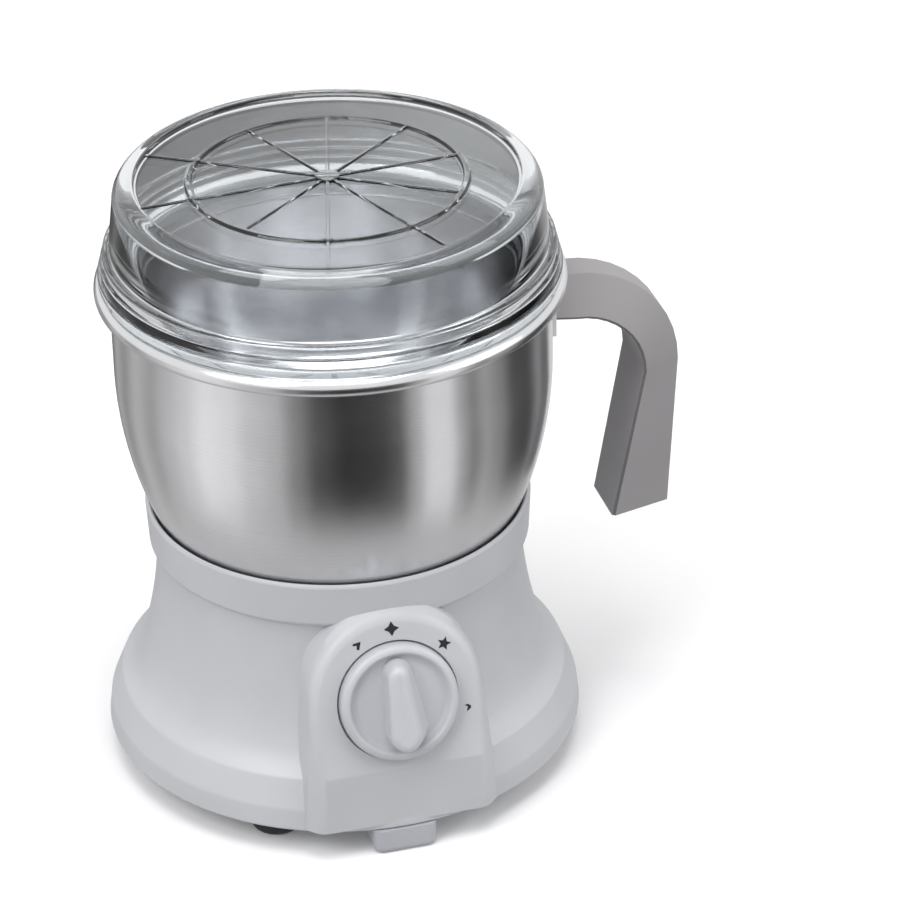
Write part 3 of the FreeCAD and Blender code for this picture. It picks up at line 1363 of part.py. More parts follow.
def electrics():
    """Terminal block and capacitor on the cover, thermal fuse on the field coil."""
    length, width, height = (f"block_terminals_{side}" for side in ("length", "width", "height"))
    back = "cover_radius - 2 * wall - block_terminals_width"
    terminals = block("terminal_blank", length, width, height, "0", back, "cover_top")
    wells = []
    for count in (-1, 0, 1):
        at = (f"{count} * block_terminals_length / 3.4", back, "cover_top + block_terminals_height - 3")
        wells.append(cylinder(f"terminal_well{count}", "1.8", "5", *at))
    node("terminal_block", cut("terminal_cut", terminals, *wells))
    at = ("-stator_length / 2", "stator_width / 2 + 1.5 + capacitor_width / 2", "cover_top")
    sides = ("capacitor_length", "capacitor_width", "capacitor_height")
    capacitor = block("capacitor_box", *sides, *at)
    node("noise_capacitor", group("capacitor_part", capacitor))
    fuse = turn_to(doc.addObject("Part::Cylinder", "fuse_rod"), (1, 0, 0), 90)
    bind(fuse, Radius="fuse_radius", Height="fuse_length")
    above = "stack_top + coil_overhang + fuse_radius + 0.1"
    place(fuse, "coil_inner + coil_depth / 2", "fuse_length / 2", above)
    node("thermal_fuse", group("fuse_part", fuse))


def build():
    node("upper_housing", upper_housing())
    node("control_panel", control_panel())
    node("panel_screws", panel_screws())
    node("bottom_cover", bottom_cover())
    node("cover_screws", cover_screws())
    node("rubber_feet", rubber_feet())
    node("cord_gland", cord_gland())
    node("rotary_switch", rotary_switch())
    node("switch_terminals", switch_terminals())
    node("switch_nut", switch_nut())
    node("knob", knob())
    node("knob_spindle", knob_spindle())
    electrics()
    node("lower_bearing", bearing("bearing_low", "lower_bearing_bottom"))
    node("upper_bearing", bearing("bearing_high", "upper_bearing_bottom"))
    cup = ("lower_plate", "lower_bearing_bottom - 0.2", "bearing_width + 0.2")
    node("lower_motor_bracket", motor_bracket("bracket_low", *cup))
    cup = ("upper_plate", "upper_bearing_bottom", "bearing_width + 0.1")
    node("upper_motor_bracket", motor_bracket("bracket_high", *cup))
    node("motor_stator", motor_stator())
    node("field_coils", field_coils())
    gap = "bolt_radius + 0.1"
    ring = ("bolt_radius + 0.8", gap)
    upper = bolt_set("spacer_high", *ring, "upper_plate - stack_top", "stack_top")
    lower = bolt_set("spacer_low", *ring, "stack_bottom - lower_plate_top", "lower_plate_top")
    node("stator_spacers", group("spacer_set", *upper, *lower))
    mounts = bolt_set("mount", "mount_radius", gap, "mount_height", "mount_bottom")
    node("motor_mounts", group("mount_set", *mounts))
    node("motor_bolts", motor_bolts())
    holders, brushes, springs = brush_parts()
    node("brush_holders", holders)
    node("carbon_brushes", brushes)
    node("brush_springs", springs)
    ring = ("2 * shaft_radius - press_gap", "shaft_radius + 0.3", "recess_floor - 0.2")
    node("motor_seal", tube("motor_seal_ring", *ring, z="recess_under + 0.1"))
    shaft_length = "drive_top - 0.2 - fan_bottom"
    shaft = cylinder("motor_shaft_rod", "shaft_radius", shaft_length, z="fan_bottom")
    node("motor_shaft", group("motor_shaft_part", shaft))
    node("armature_core", armature_core())
    node("armature_winding", armature_winding())
    node("commutator", commutator())
    node("cooling_fan", cooling_fan())
    node("drive_coupling", drive_coupling())
    node("steel_bowl", steel_bowl())
    node("bowl_foot", bowl_foot())
    node("foot_screws", foot_screws())
    node("bearing_housing", bearing_housing())
    node("blade_bush", blade_bush())
    node("blade_seal", blade_seal())
    node("handle_bracket", handle_bracket())
    node("handle_grip", handle_grip())
    node("handle_screw", handle_screw())
    node("driven_coupling", driven_coupling())
    node("blade_shaft", blade_shaft())
    node("blade_collar", blade_collar())
    node("cutting_blade", cutting_blade())
    node("blade_nut", blade_nut())
    node("clear_lid", clear_lid())
    node("lid_seal", lid_seal())


def check():
    """Stop if any object failed or any sub-part has no valid solid."""
    failed = [item.Name for item in doc.Objects if {"Invalid", "Error"} & set(item.State)]
    if failed:
        raise RuntimeError(f"these objects failed: {failed}")
    for piece in nodes:
        if piece.Shape.isNull() or not piece.Shape.isValid() or not piece.Shape.Solids:
            raise RuntimeError(f"{piece.Label} has no valid solid")


build()
doc.recompute()
check()
for piece in nodes:
    piece.Shape.exportStep(f"parts/{piece.Label}.step")
    print(f"{piece.Label}: {len(piece.Shape.Solids)} solids, {piece.Shape.Volume:.1f} mm3")
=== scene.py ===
"""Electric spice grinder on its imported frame: the visible shells are modelled here over the CAD
bodies, the working parts inside keep their CAD shape and get their finish here. The object is in
metres, its sizes below are in millimetres; +Z is up, the panel faces -Y and the handle +X."""

import math

import bmesh
import bpy
from mathutils import Matrix, Vector


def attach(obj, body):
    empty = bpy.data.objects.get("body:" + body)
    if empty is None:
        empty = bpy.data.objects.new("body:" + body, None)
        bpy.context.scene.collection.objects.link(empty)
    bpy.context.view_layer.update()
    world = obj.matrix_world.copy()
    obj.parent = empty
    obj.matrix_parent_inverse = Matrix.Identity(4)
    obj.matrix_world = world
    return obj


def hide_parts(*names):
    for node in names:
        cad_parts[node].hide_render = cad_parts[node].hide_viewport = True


bl_info = {
    "name": "Spice Grinder",
    "version": (1, 0, 0),
    "blender": (4, 5, 0),
    "location": "View3D > Sidebar > Grinder",
    "description": "Models the shells of an electric spice grinder round its packed frame",
    "category": "Add Mesh",
}

MM = 0.001
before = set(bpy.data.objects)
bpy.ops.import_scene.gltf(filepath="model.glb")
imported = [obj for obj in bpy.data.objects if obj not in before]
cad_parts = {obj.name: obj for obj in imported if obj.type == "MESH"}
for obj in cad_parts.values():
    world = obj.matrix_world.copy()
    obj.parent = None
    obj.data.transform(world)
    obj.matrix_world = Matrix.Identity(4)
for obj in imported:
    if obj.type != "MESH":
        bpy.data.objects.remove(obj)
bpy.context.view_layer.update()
FINISHES = {}


def size(name, default, description):
    """A length in millimetres that a user may change."""
    return bpy.props.FloatProperty(name=name, default=default, description=description + ", mm")


def colour(name, default, description):
    return bpy.props.StringProperty(name=name, default=default, description=description + ", sRGB hex")


class GrinderSizes(bpy.types.PropertyGroup):
    """Sizes of the shells, in millimetres."""

    edge_radius: size("Edge radius", 58.8, "lower edge of the base")
    edge_height: size("Edge height", 6.6, "lower edge above the table")
    collar_radius: size("Collar radius", 46.9, "collar round the bowl")
    collar_top: size("Collar top", 68.5, "top of the collar")
    wall: size("Wall", 2.5, "moulded wall of the base")
    bowl_radius: size("Bowl radius", 52.4, "outside of the bowl's straight wall")
    sheet: size("Sheet", 0.8, "steel sheet of the bowl")
    bead_radius: size("Bead radius", 2.2, "curled rim of the bowl")
    bead_height: size("Bead height", 125.5, "middle of the curled rim")
    lid_bottom: size("Lid bottom", 128.0, "underside of the lid's lowest ridge")
    knob_radius: size("Knob radius", 14.3, "round knob")
    panel_half: size("Panel half width", 20.5, "face of the panel and radius of its arch")
    panel_tilt: bpy.props.FloatProperty(
        name="Panel tilt",
        default=math.radians(15),
        subtype="ANGLE",
        description="Lean of the panel's face",
    )


class GrinderColours(bpy.types.PropertyGroup):
    """Colours of the finishes, as sRGB hex values."""

    housing: colour("Housing", "bfc0c4", "light grey moulded shell")
    knob: colour("Knob", "bebfc4", "knob")
    foot: colour("Foot", "b2b4ba", "bottom cover and block foot")
    handle: colour("Handle", "979596", "handle")
    steel: colour("Steel", "e0e0e2", "stainless steel")
    lid: colour("Lid", "eef1f3", "clear plastic")
    floor: colour("Floor", "f6f6f7", "table")


def sizes():
    return bpy.context.scene.grinder_sizes


def colours():
    return bpy.context.scene.grinder_colours


def linear(text, alpha=1.0):
    """Linear colour of an sRGB hex value."""
    parts = [int(text[place : place + 2], 16) / 255 for place in (0, 2, 4)]
    return [c / 12.92 if c <= 0.04045 else ((c + 0.055) / 1.055) ** 2.4 for c in parts] + [alpha]


def add_node(tree, kind, links=(), **settings):
    """Add a node. Settings name its properties or its sockets, links pair a socket with a source."""
    item = tree.nodes.new(kind)
    for name, setting in settings.items():
        label = name.replace("_", " ")
        found = [socket for socket in item.inputs if socket.name.lower() == label]
        if found:
            found[0].default_value = setting
        else:
            setattr(item, name, setting)
    for target, source in links:
        tree.links.new(item.inputs[target], source)
    return item


def finish(name, **settings):
    """New material with one Principled shader. Returns it, its tree, shader and coordinates."""
    material = bpy.data.materials.new(name)
    material.use_nodes = True
    tree = material.node_tree
    tree.nodes.clear()
    shader = add_node(tree, "ShaderNodeBsdfPrincipled", **settings)
    add_node(tree, "ShaderNodeOutputMaterial", [("Surface", shader.outputs["BSDF"])])
    where = add_node(tree, "ShaderNodeTexCoord").outputs["Object"]
    FINISHES[name] = material
    return material, tree, shader, where


def grain(tree, shader, where, spacing, depth, strength=1.0, detail=2.0):
    """Fine relief with bumps this far apart and this deep, in millimetres."""
    noise = add_node(
        tree, "ShaderNodeTexNoise", [("Vector", where)], scale=1 / (spacing * MM), detail=detail
    )
    bump = add_node(
        tree,
        "ShaderNodeBump",
        [("Height", noise.outputs["Fac"])],
        strength=strength,
        distance=depth * MM,
    )
    tree.links.new(shader.inputs["Normal"], bump.outputs["Normal"])
    return noise


def tone(tree, shader, source, dark, light, low=0.35, high=0.65):
    """Colour that runs between two close tones with a pattern."""
    ramp = add_node(tree, "ShaderNodeValToRGB", [("Fac", source)])
    ramp.color_ramp.elements[0].position = low
    ramp.color_ramp.elements[1].position = high
    ramp.color_ramp.elements[0].color = linear(dark)
    ramp.color_ramp.elements[1].color = linear(light)
    tree.links.new(shader.inputs["Base Color"], ramp.outputs["Color"])


def shade(text, factor):
    """The hex colour made darker or lighter."""
    parts = [min(255, round(int(text[place : place + 2], 16) * factor)) for place in (0, 2, 4)]
    return "".join(f"{part:02x}" for part in parts)


def moulded_plastic(name, text, roughness=0.42, spacing=0.45, depth=0.012):
    """Injection-moulded plastic from a spark-eroded mould: satin, with a fine even grain. The real
    grain is about 0.1 mm and is drawn coarser so that it shows."""
    _, tree, shader, where = finish(name, roughness=roughness, ior=1.53)
    grain(tree, shader, where, spacing, depth, 0.5)
    patches = add_node(tree, "ShaderNodeTexNoise", [("Vector", where)], scale=1 / (30 * MM), detail=2.0)
    tone(tree, shader, patches.outputs["Fac"], shade(text, 0.985), shade(text, 1.01))


def metal(name, text, roughness, spacing=0.8, depth=0.004):
    """Plain turned, plated or pressed metal with slight unevenness."""
    _, tree, shader, where = finish(name, roughness=roughness, metallic=1.0)
    noise = grain(tree, shader, where, spacing, depth, 0.4)
    tone(tree, shader, noise.outputs["Fac"], shade(text, 0.92), shade(text, 1.04))


def brushed_steel(name, text, roughness=0.2, spacing=0.22):
    """Drawn stainless steel brushed on a turning machine: hair lines run round the axis, so a
    highlight spreads up and down the wall and stands as a soft upright band. Lines are 0.05 mm
    apart and are drawn coarser. A cloudy drawing pattern of 14 mm shows faintly."""
    _, tree, shader, where = finish(
        name, roughness=roughness, metallic=1.0, anisotropic=0.7, anisotropic_rotation=0.25
    )
    split = add_node(tree, "ShaderNodeSeparateXYZ", [("Vector", where)])
    flat = add_node(tree, "ShaderNodeCombineXYZ", [("X", split.outputs["X"]), ("Y", split.outputs["Y"])])
    radius = add_node(tree, "ShaderNodeVectorMath", [("Vector", flat.outputs[0])], operation="LENGTH")
    along = add_node(
        tree,
        "ShaderNodeMath",
        [(0, split.outputs["Z"]), (1, radius.outputs["Value"])],
        operation="SUBTRACT",
    )
    lines = add_node(
        tree,
        "ShaderNodeTexNoise",
        [("W", along.outputs[0])],
        noise_dimensions="1D",
        scale=1 / (spacing * MM),
        detail=3.0,
    )
    cloud = add_node(tree, "ShaderNodeTexNoise", [("Vector", where)], scale=1 / (14 * MM), detail=3.0)
    blend = add_node(
        tree,
        "ShaderNodeMath",
        [(0, lines.outputs["Fac"]), (1, cloud.outputs["Fac"])],
        operation="MULTIPLY",
    )
    rough = add_node(
        tree,
        "ShaderNodeMapRange",
        [("Value", blend.outputs[0])],
        from_min=0.1,
        from_max=0.45,
        to_min=roughness * 0.85,
        to_max=roughness * 1.2,
    )
    tree.links.new(shader.inputs["Roughness"], rough.outputs[0])
    bump = add_node(
        tree, "ShaderNodeBump", [("Height", lines.outputs["Fac"])], strength=0.12, distance=0.003 * MM
    )
    tree.links.new(shader.inputs["Normal"], bump.outputs["Normal"])
    tone(tree, shader, blend.outputs[0], shade(text, 0.965), shade(text, 1.01), 0.12, 0.4)
    tangent = add_node(tree, "ShaderNodeTangent", direction_type="RADIAL", axis="Z")
    tree.links.new(shader.inputs["Tangent"], tangent.outputs["Tangent"])


def layered(name, dark, light, spacing, metallic, roughness):
    """Stacked laminations or wound wire: bands across the height at this spacing."""
    _, tree, shader, where = finish(name, roughness=roughness, metallic=metallic)
    bands = add_node(
        tree,
        "ShaderNodeTexWave",
        [("Vector", where)],
        bands_direction="Z",
        scale=0.314 / (spacing * MM) / 2,
        distortion=0.4,
    )
    tone(tree, shader, bands.outputs["Fac"], dark, light, 0.2, 0.6)
    bump = add_node(
        tree, "ShaderNodeBump", [("Height", bands.outputs["Fac"])], strength=0.6, distance=0.05 * MM
    )
    tree.links.new(shader.inputs["Normal"], bump.outputs["Normal"])


def clear_plastic(name, text):
    """Clear moulded SAN: polished, with the faint waves of 9 mm that the melt's flow leaves."""
    _, tree, shader, where = finish(
        name, base_color=linear(text), roughness=0.03, ior=1.49, transmission_weight=1.0
    )
    grain(tree, shader, where, 9.0, 0.03, 0.6, 1.0)


def make_finishes():
    """Every finish of the grinder, named for what it is."""
    tones = colours()
    moulded_plastic("moulded_abs_housing", tones.housing)
    moulded_plastic("moulded_abs_knob", tones.knob, 0.36)
    moulded_plastic("moulded_abs_foot", tones.foot, 0.5)
    moulded_plastic("moulded_abs_handle", tones.handle, 0.46, 0.5, 0.016)
    # Painted shade: the handle's grey made darker for the grooves beside its inner face.
    moulded_plastic("soft_seam_grey", shade(tones.handle, 0.74), 0.55)
    moulded_plastic("nylon_black", "1b1c1e", 0.5)
    moulded_plastic("nylon_dark_grey", "4b4c50", 0.5)
    moulded_plastic("polycarbonate_white", "e6e5df", 0.4)
    moulded_plastic("film_capacitor_yellow", "d8b45a", 0.25)
    moulded_plastic("rubber_black", "1e1f22", 0.68, 0.6, 0.02)
    moulded_plastic("silicone_grey", "c6c8cb", 0.5, 0.8, 0.01)
    moulded_plastic("carbon_graphite", "26262a", 0.55, 0.3, 0.02)
    moulded_plastic("printing_ink_black", "17171a", 0.5)
    brushed_steel("brushed_stainless", tones.steel)
    metal("ground_steel", "c9c9cb", 0.14)
    metal("zinc_plated_steel", "bcbcb8", 0.3)
    metal("pressed_steel_sheet", "b4b4ae", 0.36, 3.0, 0.02)
    metal("blade_stainless", "cfcfd0", 0.2)
    metal("turned_aluminium", "cfcfd1", 0.26)
    metal("sintered_bronze", "a8875a", 0.42, 0.3, 0.02)
    metal("brass_sheet", "c9a75e", 0.3)
    metal("copper_bars", "c07a55", 0.3)
    layered("silicon_steel_laminations", "3c3c40", "6a6a6e", 0.5, 0.8, 0.45)
    layered("enamelled_copper_wire", "7a3214", "c0622e", 0.5, 0.9, 0.3)
    clear_plastic("clear_san_plastic", tones.lid)


def deselect():
    if bpy.context.object and bpy.context.object.mode != "OBJECT":
        bpy.ops.object.mode_set(mode="OBJECT")
    bpy.ops.object.select_all(action="DESELECT")


def only(piece):
    """Make this the one selected and active object."""
    deselect()
    piece.select_set(True)
    bpy.context.view_layer.objects.active = piece


def edit(piece):
    only(piece)
    bpy.ops.object.mode_set(mode="EDIT")


def pick(kind, test):
    """In edit mode, select the verts, edges or faces whose middle, in millimetres, passes the test."""
    bpy.ops.mesh.select_mode(type={"verts": "VERT", "edges": "EDGE", "faces": "FACE"}[kind])
    bpy.ops.mesh.select_all(action="DESELECT")
    data = bpy.context.object.data
    mesh = bmesh.from_edit_mesh(data)
    count = 0
    for item in getattr(mesh, kind):
        if kind == "verts":
            middle = item.co
        elif kind == "edges":
            middle = (item.verts[0].co + item.verts[1].co) / 2
        else:
            middle = item.calc_center_median()
        if test(Vector(middle) / MM, item):
            item.select_set(True)
            count += 1
    mesh.select_flush_mode()
    bmesh.update_edit_mesh(data)
    return count


def move(x=0.0, y=0.0, z=0.0):
    bpy.ops.transform.translate(value=(x * MM, y * MM, z * MM))


def draw_out(x=0.0, y=0.0, z=0.0):
    """Extrude what is selected by this much, in millimetres."""
    bpy.ops.mesh.extrude_region_move(TRANSFORM_OT_translate={"value": (x * MM, y * MM, z * MM)})


def stretch(x, y, z, centre=(0, 0, 0)):
    bpy.ops.transform.resize(value=(x, y, z), center_override=[c * MM for c in centre])


def modify(piece, kind, **settings):
    """Add a modifier and apply it."""
    only(piece)
    modifier = piece.modifiers.new(kind.lower(), kind)
    for name, setting in settings.items():
        setattr(modifier, name, setting)
    bpy.ops.object.modifier_apply(modifier=modifier.name)


def arc_between(start, end, radius, count=10):
    """Points after start up to end on an arc. A positive radius bulges to the left of the way."""
    way = end - start
    left = Vector((-way.y, way.x)).normalized()
    reach = math.sqrt(max(0.0, radius * radius - way.length_squared / 4))
    centre = (start + end) / 2 - left * reach * (1 if radius > 0 else -1)
    first, last = start - centre, end - centre
    angle = first.angle_signed(last)
    return [centre + Matrix.Rotation(-angle * i / count, 2) @ first for i in range(1, count + 1)]


def turned(name, corners, steps=160):
    """Piece of revolution: a point is extruded along the outline, corners are rounded, then it is
    spun. A corner is (radius, height) with "bend" and a radius for an arc that leads to it, or
    "round" and a radius for a rounded corner."""
    deselect()
    bpy.ops.mesh.primitive_plane_add(size=MM)
    piece = bpy.context.object
    piece.name = name
    edit(piece)
    bpy.ops.mesh.select_mode(type="VERT")
    bpy.ops.mesh.select_all(action="SELECT")
    bpy.ops.mesh.merge(type="CENTER")
    here = Vector(corners[0][:2])
    move(here.x, 0, here.y)
    for corner in corners[1:]:
        end = Vector(corner[:2])
        bend = corner[3] if "bend" in corner else None
        points = arc_between(here, end, bend) if bend else [end]
        for point in points:
            draw_out(point.x - here.x, 0, point.y - here.y)
            here = point
    bpy.ops.mesh.select_all(action="SELECT")
    bpy.ops.mesh.remove_doubles(threshold=1e-7)
    for corner in corners:
        if "round" in corner:
            spot = Vector((corner[0], 0, corner[1]))
            pick("verts", lambda at, item: (at - spot).length < 1e-3)
            radius = corner[corner.index("round") + 1]
            bpy.ops.mesh.bevel(offset=radius * MM, segments=4, affect="VERTICES", clamp_overlap=True)
    bpy.ops.mesh.select_mode(type="VERT")
    bpy.ops.mesh.select_all(action="SELECT")
    bpy.ops.mesh.spin(steps=steps, angle=2 * math.pi, center=(0, 0, 0), axis=(0, 0, 1))
    bpy.ops.mesh.select_all(action="SELECT")
    bpy.ops.mesh.remove_doubles(threshold=2e-6)
    bpy.ops.mesh.delete_loose(use_verts=True, use_edges=True, use_faces=False)
    bpy.ops.mesh.select_all(action="SELECT")
    bpy.ops.mesh.normals_make_consistent(inside=False)
    bpy.ops.object.mode_set(mode="OBJECT")
    return piece


def smooth(piece, angle=32):
    """Smooth shading with flat faces kept flat."""
    only(piece)
    bpy.ops.object.shade_smooth_by_angle(angle=math.radians(angle))
    modify(piece, "WEIGHTED_NORMAL", keep_sharp=True)


def settle(piece, finish_name, body, slot, *nodes):
    """Give a finished piece its finish and its place in the frame."""
    only(piece)
    bpy.ops.object.transform_apply(location=True, rotation=True, scale=True)
    if not piece.data.materials:
        piece.data.materials.append(FINISHES[finish_name])
    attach(piece, body)
    if nodes:
        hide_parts(*nodes)
    return piece


def to_panel(piece):
    """Stand a piece modelled flat about Z square on the panel's face, at the knob."""
    piece.rotation_euler = (math.pi / 2 - sizes().panel_tilt, 0, 0)
    piece.location = (0, -54.0 * MM, 40.0 * MM)
    only(piece)
    bpy.ops.object.transform_apply(location=True, rotation=True, scale=True)


def join(first, *others):
    only(first)
    for piece in others:
        piece.select_set(True)
    bpy.ops.object.join()
    return first


def box_piece(name, low, high):
    """Box between two corners in millimetres, as a start for shaping."""
    deselect()
    bpy.ops.mesh.primitive_cube_add(size=1)
    piece = bpy.context.object
    piece.name = name
    piece.dimensions = [(b - a) * MM for a, b in zip(low, high)]
    piece.location = [(a + b) / 2 * MM for a, b in zip(low, high)]
    only(piece)
    bpy.ops.object.transform_apply(location=True, rotation=True, scale=True)
    return piece


class GRINDER_OT_housing(bpy.types.Operator):
    """Bell-shaped shell with the collar and the well for the bowl."""

    bl_idname = "grinder.housing"
    bl_label = "Base shell"

    def execute(self, context):
        s = sizes()
        edge, low, top, out, wall = s.edge_radius, s.edge_height, s.collar_top, s.collar_radius, s.wall
        shell = turned("base_shell", [
            (edge - wall, low),
            (edge, low, "round", 0.9),
            (edge - 0.7, low + 5.6, "round", 0.5),
            (edge - 3.7, low + 12.8, "round", 0.5),
            (edge - 8.2, low + 18.3, "bend", 14.5),
            (edge - 10.6, low + 25.0, "bend", 38.0),
            (edge - 14.2, low + 49.4, "bend", 120.0),
            (out - 0.5, top - 10.9, "round", 0.5),
            (out, top - 1.0),
            (out - 0.7, top, "bend", -1.2),
            (out - 1.2, top - 0.4),
            (out - 2.3, top - 5.5),
            (41.8, 57.0),
            (41.8, 55.0, "round", 0.8),
            (17.5, 55.0, "round", 0.6),
            (17.5, 51.5),
            (6.0, 51.5),
            (6.0, 49.9),
            (19.5, 49.9),
            (19.5, 52.5),
            (edge - 14.2 - wall - 0.6, 52.5),
            (edge - 10.6 - wall, low + 24.5, "bend", -60.0),
            (edge - 8.2 - wall, low + 17.3, "bend", -20.0),
            (edge - 3.7 - wall, low + 11.8, "bend", -20.0),
            (edge - 0.7 - wall, low + 5.6),
            (edge - wall, low),
        ], 240)
        keys = []
        for angle in (90, 210, 330):
            key = box_piece(f"well_key_{angle}", (34.4, -3.5, 54.5), (42.4, 3.5, 59.2))
            modify(key, "BEVEL", width=0.6 * MM, segments=3)
            key.rotation_euler = (0, 0, math.radians(angle))
            keys.append(key)
        for key in keys:
            only(key)
            bpy.ops.object.transform_apply(location=True, rotation=True, scale=True)
        join(shell, *keys)
        smooth(shell)
        settle(shell, "moulded_abs_housing", "base", "housing_plastic", "upper_housing")
        return {"FINISHED"}


class GRINDER_OT_panel(bpy.types.Operator):
    """Raised panel with its arched top, tilted face, lower facet and the recess of the knob."""

    bl_idname = "grinder.panel"
    bl_label = "Control panel"

    def execute(self, context):
        # Modelled flat: X across the face, Y up along it, Z out of it, the knob at the middle. The
        # facet runs down and back from the crease. The walls then run back into the shell.
        half = sizes().panel_half
        crease = -17.08
        facet = (-14.78, -3.9)
        deselect()
        bpy.ops.mesh.primitive_circle_add(vertices=96, radius=half * MM, fill_type="NOTHING")
        panel = bpy.context.object
        panel.name = "control_panel_shell"
        edit(panel)
        pick("verts", lambda at, item: at.y < -0.01)
        bpy.ops.mesh.delete(type="VERT")
        pick("verts", lambda at, item: at.y < 0.01)
        draw_out(y=crease)
        bpy.ops.mesh.edge_face_add()
        bpy.ops.mesh.select_mode(type="VERT")
        bpy.ops.mesh.select_all(action="SELECT")
        bpy.ops.mesh.edge_face_add()
        pick("edges", lambda at, item: at.y < crease + 0.01)
        draw_out(y=facet[0], z=facet[1])
        pick("edges", lambda at, item: item.is_boundary)
        draw_out(y=0.83, z=-3.1)
        stretch(1.05, 1, 1)
        pick("verts", lambda at, item: item.is_boundary and at.y > 0.9)
        stretch(1, 1.1, 1, (0, 0.83, 0))
        pick("verts", lambda at, item: item.is_boundary and at.y < crease + 2)
        stretch(1.05, 1, 1)
        pick("verts", lambda at, item: item.is_boundary and at.y < crease - 5)
        stretch(1.045, 1, 1)
        pick("edges", lambda at, item: item.is_boundary)
        draw_out(y=2.79, z=-10.4)
        pick("verts", lambda at, item: item.is_boundary and at.y > 2)
        stretch(0.97, 1, 1)
        pick(
            "edges",
            lambda at, item: len(item.link_faces) == 2
            and abs(item.link_faces[0].normal.dot(item.link_faces[1].normal)) < 0.8
            and at.y > crease + facet[0] + 0.1
            and at.z > -2.9,
        )
        bpy.ops.mesh.bevel(offset=1.6 * MM, segments=5, affect="EDGES")
        pick(
            "edges",
            lambda at, item: abs(at.y - crease) < 0.01
            and abs(at.z) < 0.01
            and item.calc_length() > 0.02,
        )
        bpy.ops.mesh.bevel(offset=0.4 * MM, segments=2, affect="EDGES")
        bpy.ops.mesh.select_mode(type="VERT")
        bpy.ops.mesh.select_all(action="SELECT")
        bpy.ops.mesh.normals_make_consistent(inside=False)
        bpy.ops.object.mode_set(mode="OBJECT")
        modify(panel, "SOLIDIFY", thickness=2.2 * MM, offset=-1)
        deselect()
        bpy.ops.mesh.primitive_cylinder_add(
            vertices=128, radius=14.8 * MM, depth=10 * MM, location=(0, 0, 3.5 * MM)
        )
        cutter = bpy.context.object
        modify(panel, "BOOLEAN", operation="DIFFERENCE", object=cutter, solver="EXACT")
        bpy.data.objects.remove(cutter)
        to_panel(panel)
        deselect()
        bpy.ops.mesh.primitive_cone_add(
            vertices=160,
            radius1=42.3 * MM,
            radius2=46.4 * MM,
            depth=14.5 * MM,
            location=(0, 0, 61.75 * MM),
        )
        # Nothing of the walls may stand out into the well that takes the bowl.
        well = bpy.context.object
        modify(panel, "BOOLEAN", operation="DIFFERENCE", object=well, solver="EXACT")
        bpy.data.objects.remove(well)
        smooth(panel, 25)
        settle(panel, "moulded_abs_housing", "base", "housing_plastic", "control_panel")
        return {"FINISHED"}


def flat_mark(name, points, turn, radius, scale=1.0):
    """Thin printed mark: a polygon about its own middle, turned and set at this radius and angle."""
    deselect()
    bpy.ops.mesh.primitive_circle_add(vertices=len(points), radius=MM, fill_type="NGON")
    mark = bpy.context.object
    mark.name = name
    for vertex, point in zip(mark.data.vertices, points):
        vertex.co = (point[0] * scale * MM, point[1] * scale * MM, 0)
    edit(mark)
    bpy.ops.mesh.select_all(action="SELECT")
    draw_out(z=0.08)
    bpy.ops.mesh.select_all(action="SELECT")
    bpy.ops.mesh.normals_make_consistent(inside=False)
    bpy.ops.object.mode_set(mode="OBJECT")
    angle = math.radians(turn)
    mark.location = (radius * math.sin(angle) * MM, radius * math.cos(angle) * MM, -0.02 * MM)
    only(mark)
    bpy.ops.object.transform_apply(location=True, rotation=True, scale=True)
    return mark


def star(arms, outer, inner, turn=0.0):
    """Corners of a star."""
    corners = []
    for index in range(2 * arms):
        radius = outer if index % 2 == 0 else inner
        angle = math.radians(turn) + math.pi * index / arms
        corners.append((radius * math.sin(angle), radius * math.cos(angle)))
    return corners


class GRINDER_OT_marks(bpy.types.Operator):
    """Small printed marks round the knob: two stars, a tick and a hook."""

    bl_idname = "grinder.marks"
    bl_label = "Dial marks"

    def execute(self, context):
        tick = [(-1.0, 0.1), (-0.9, 0.6), (1.0, 0.9), (0.85, 0.2), (0.5, -1.1), (-0.1, -0.9), (0.0, 0.1)]
        hook = [(-0.8, 0.7), (0.1, 0.9), (0.9, 0.3), (0.8, -0.3), (-0.3, -1.1), (-0.2, -0.5), (0.1, 0.1)]
        marks = [
            flat_mark("mark_top", star(4, 1.85, 0.95), 0, 17.7),
            flat_mark("mark_plus", star(5, 1.75, 0.8, 20), 45.7, 17.2),
            flat_mark("mark_tick", tick, -30.3, 17.2),
            flat_mark("mark_hook", hook, 105.6, 17.35, 0.9),
        ]
        whole = join(*marks)
        whole.name = "dial_marks"
        to_panel(whole)
        settle(whole, "printing_ink_black", "base", "black_plastic")
        return {"FINISHED"}


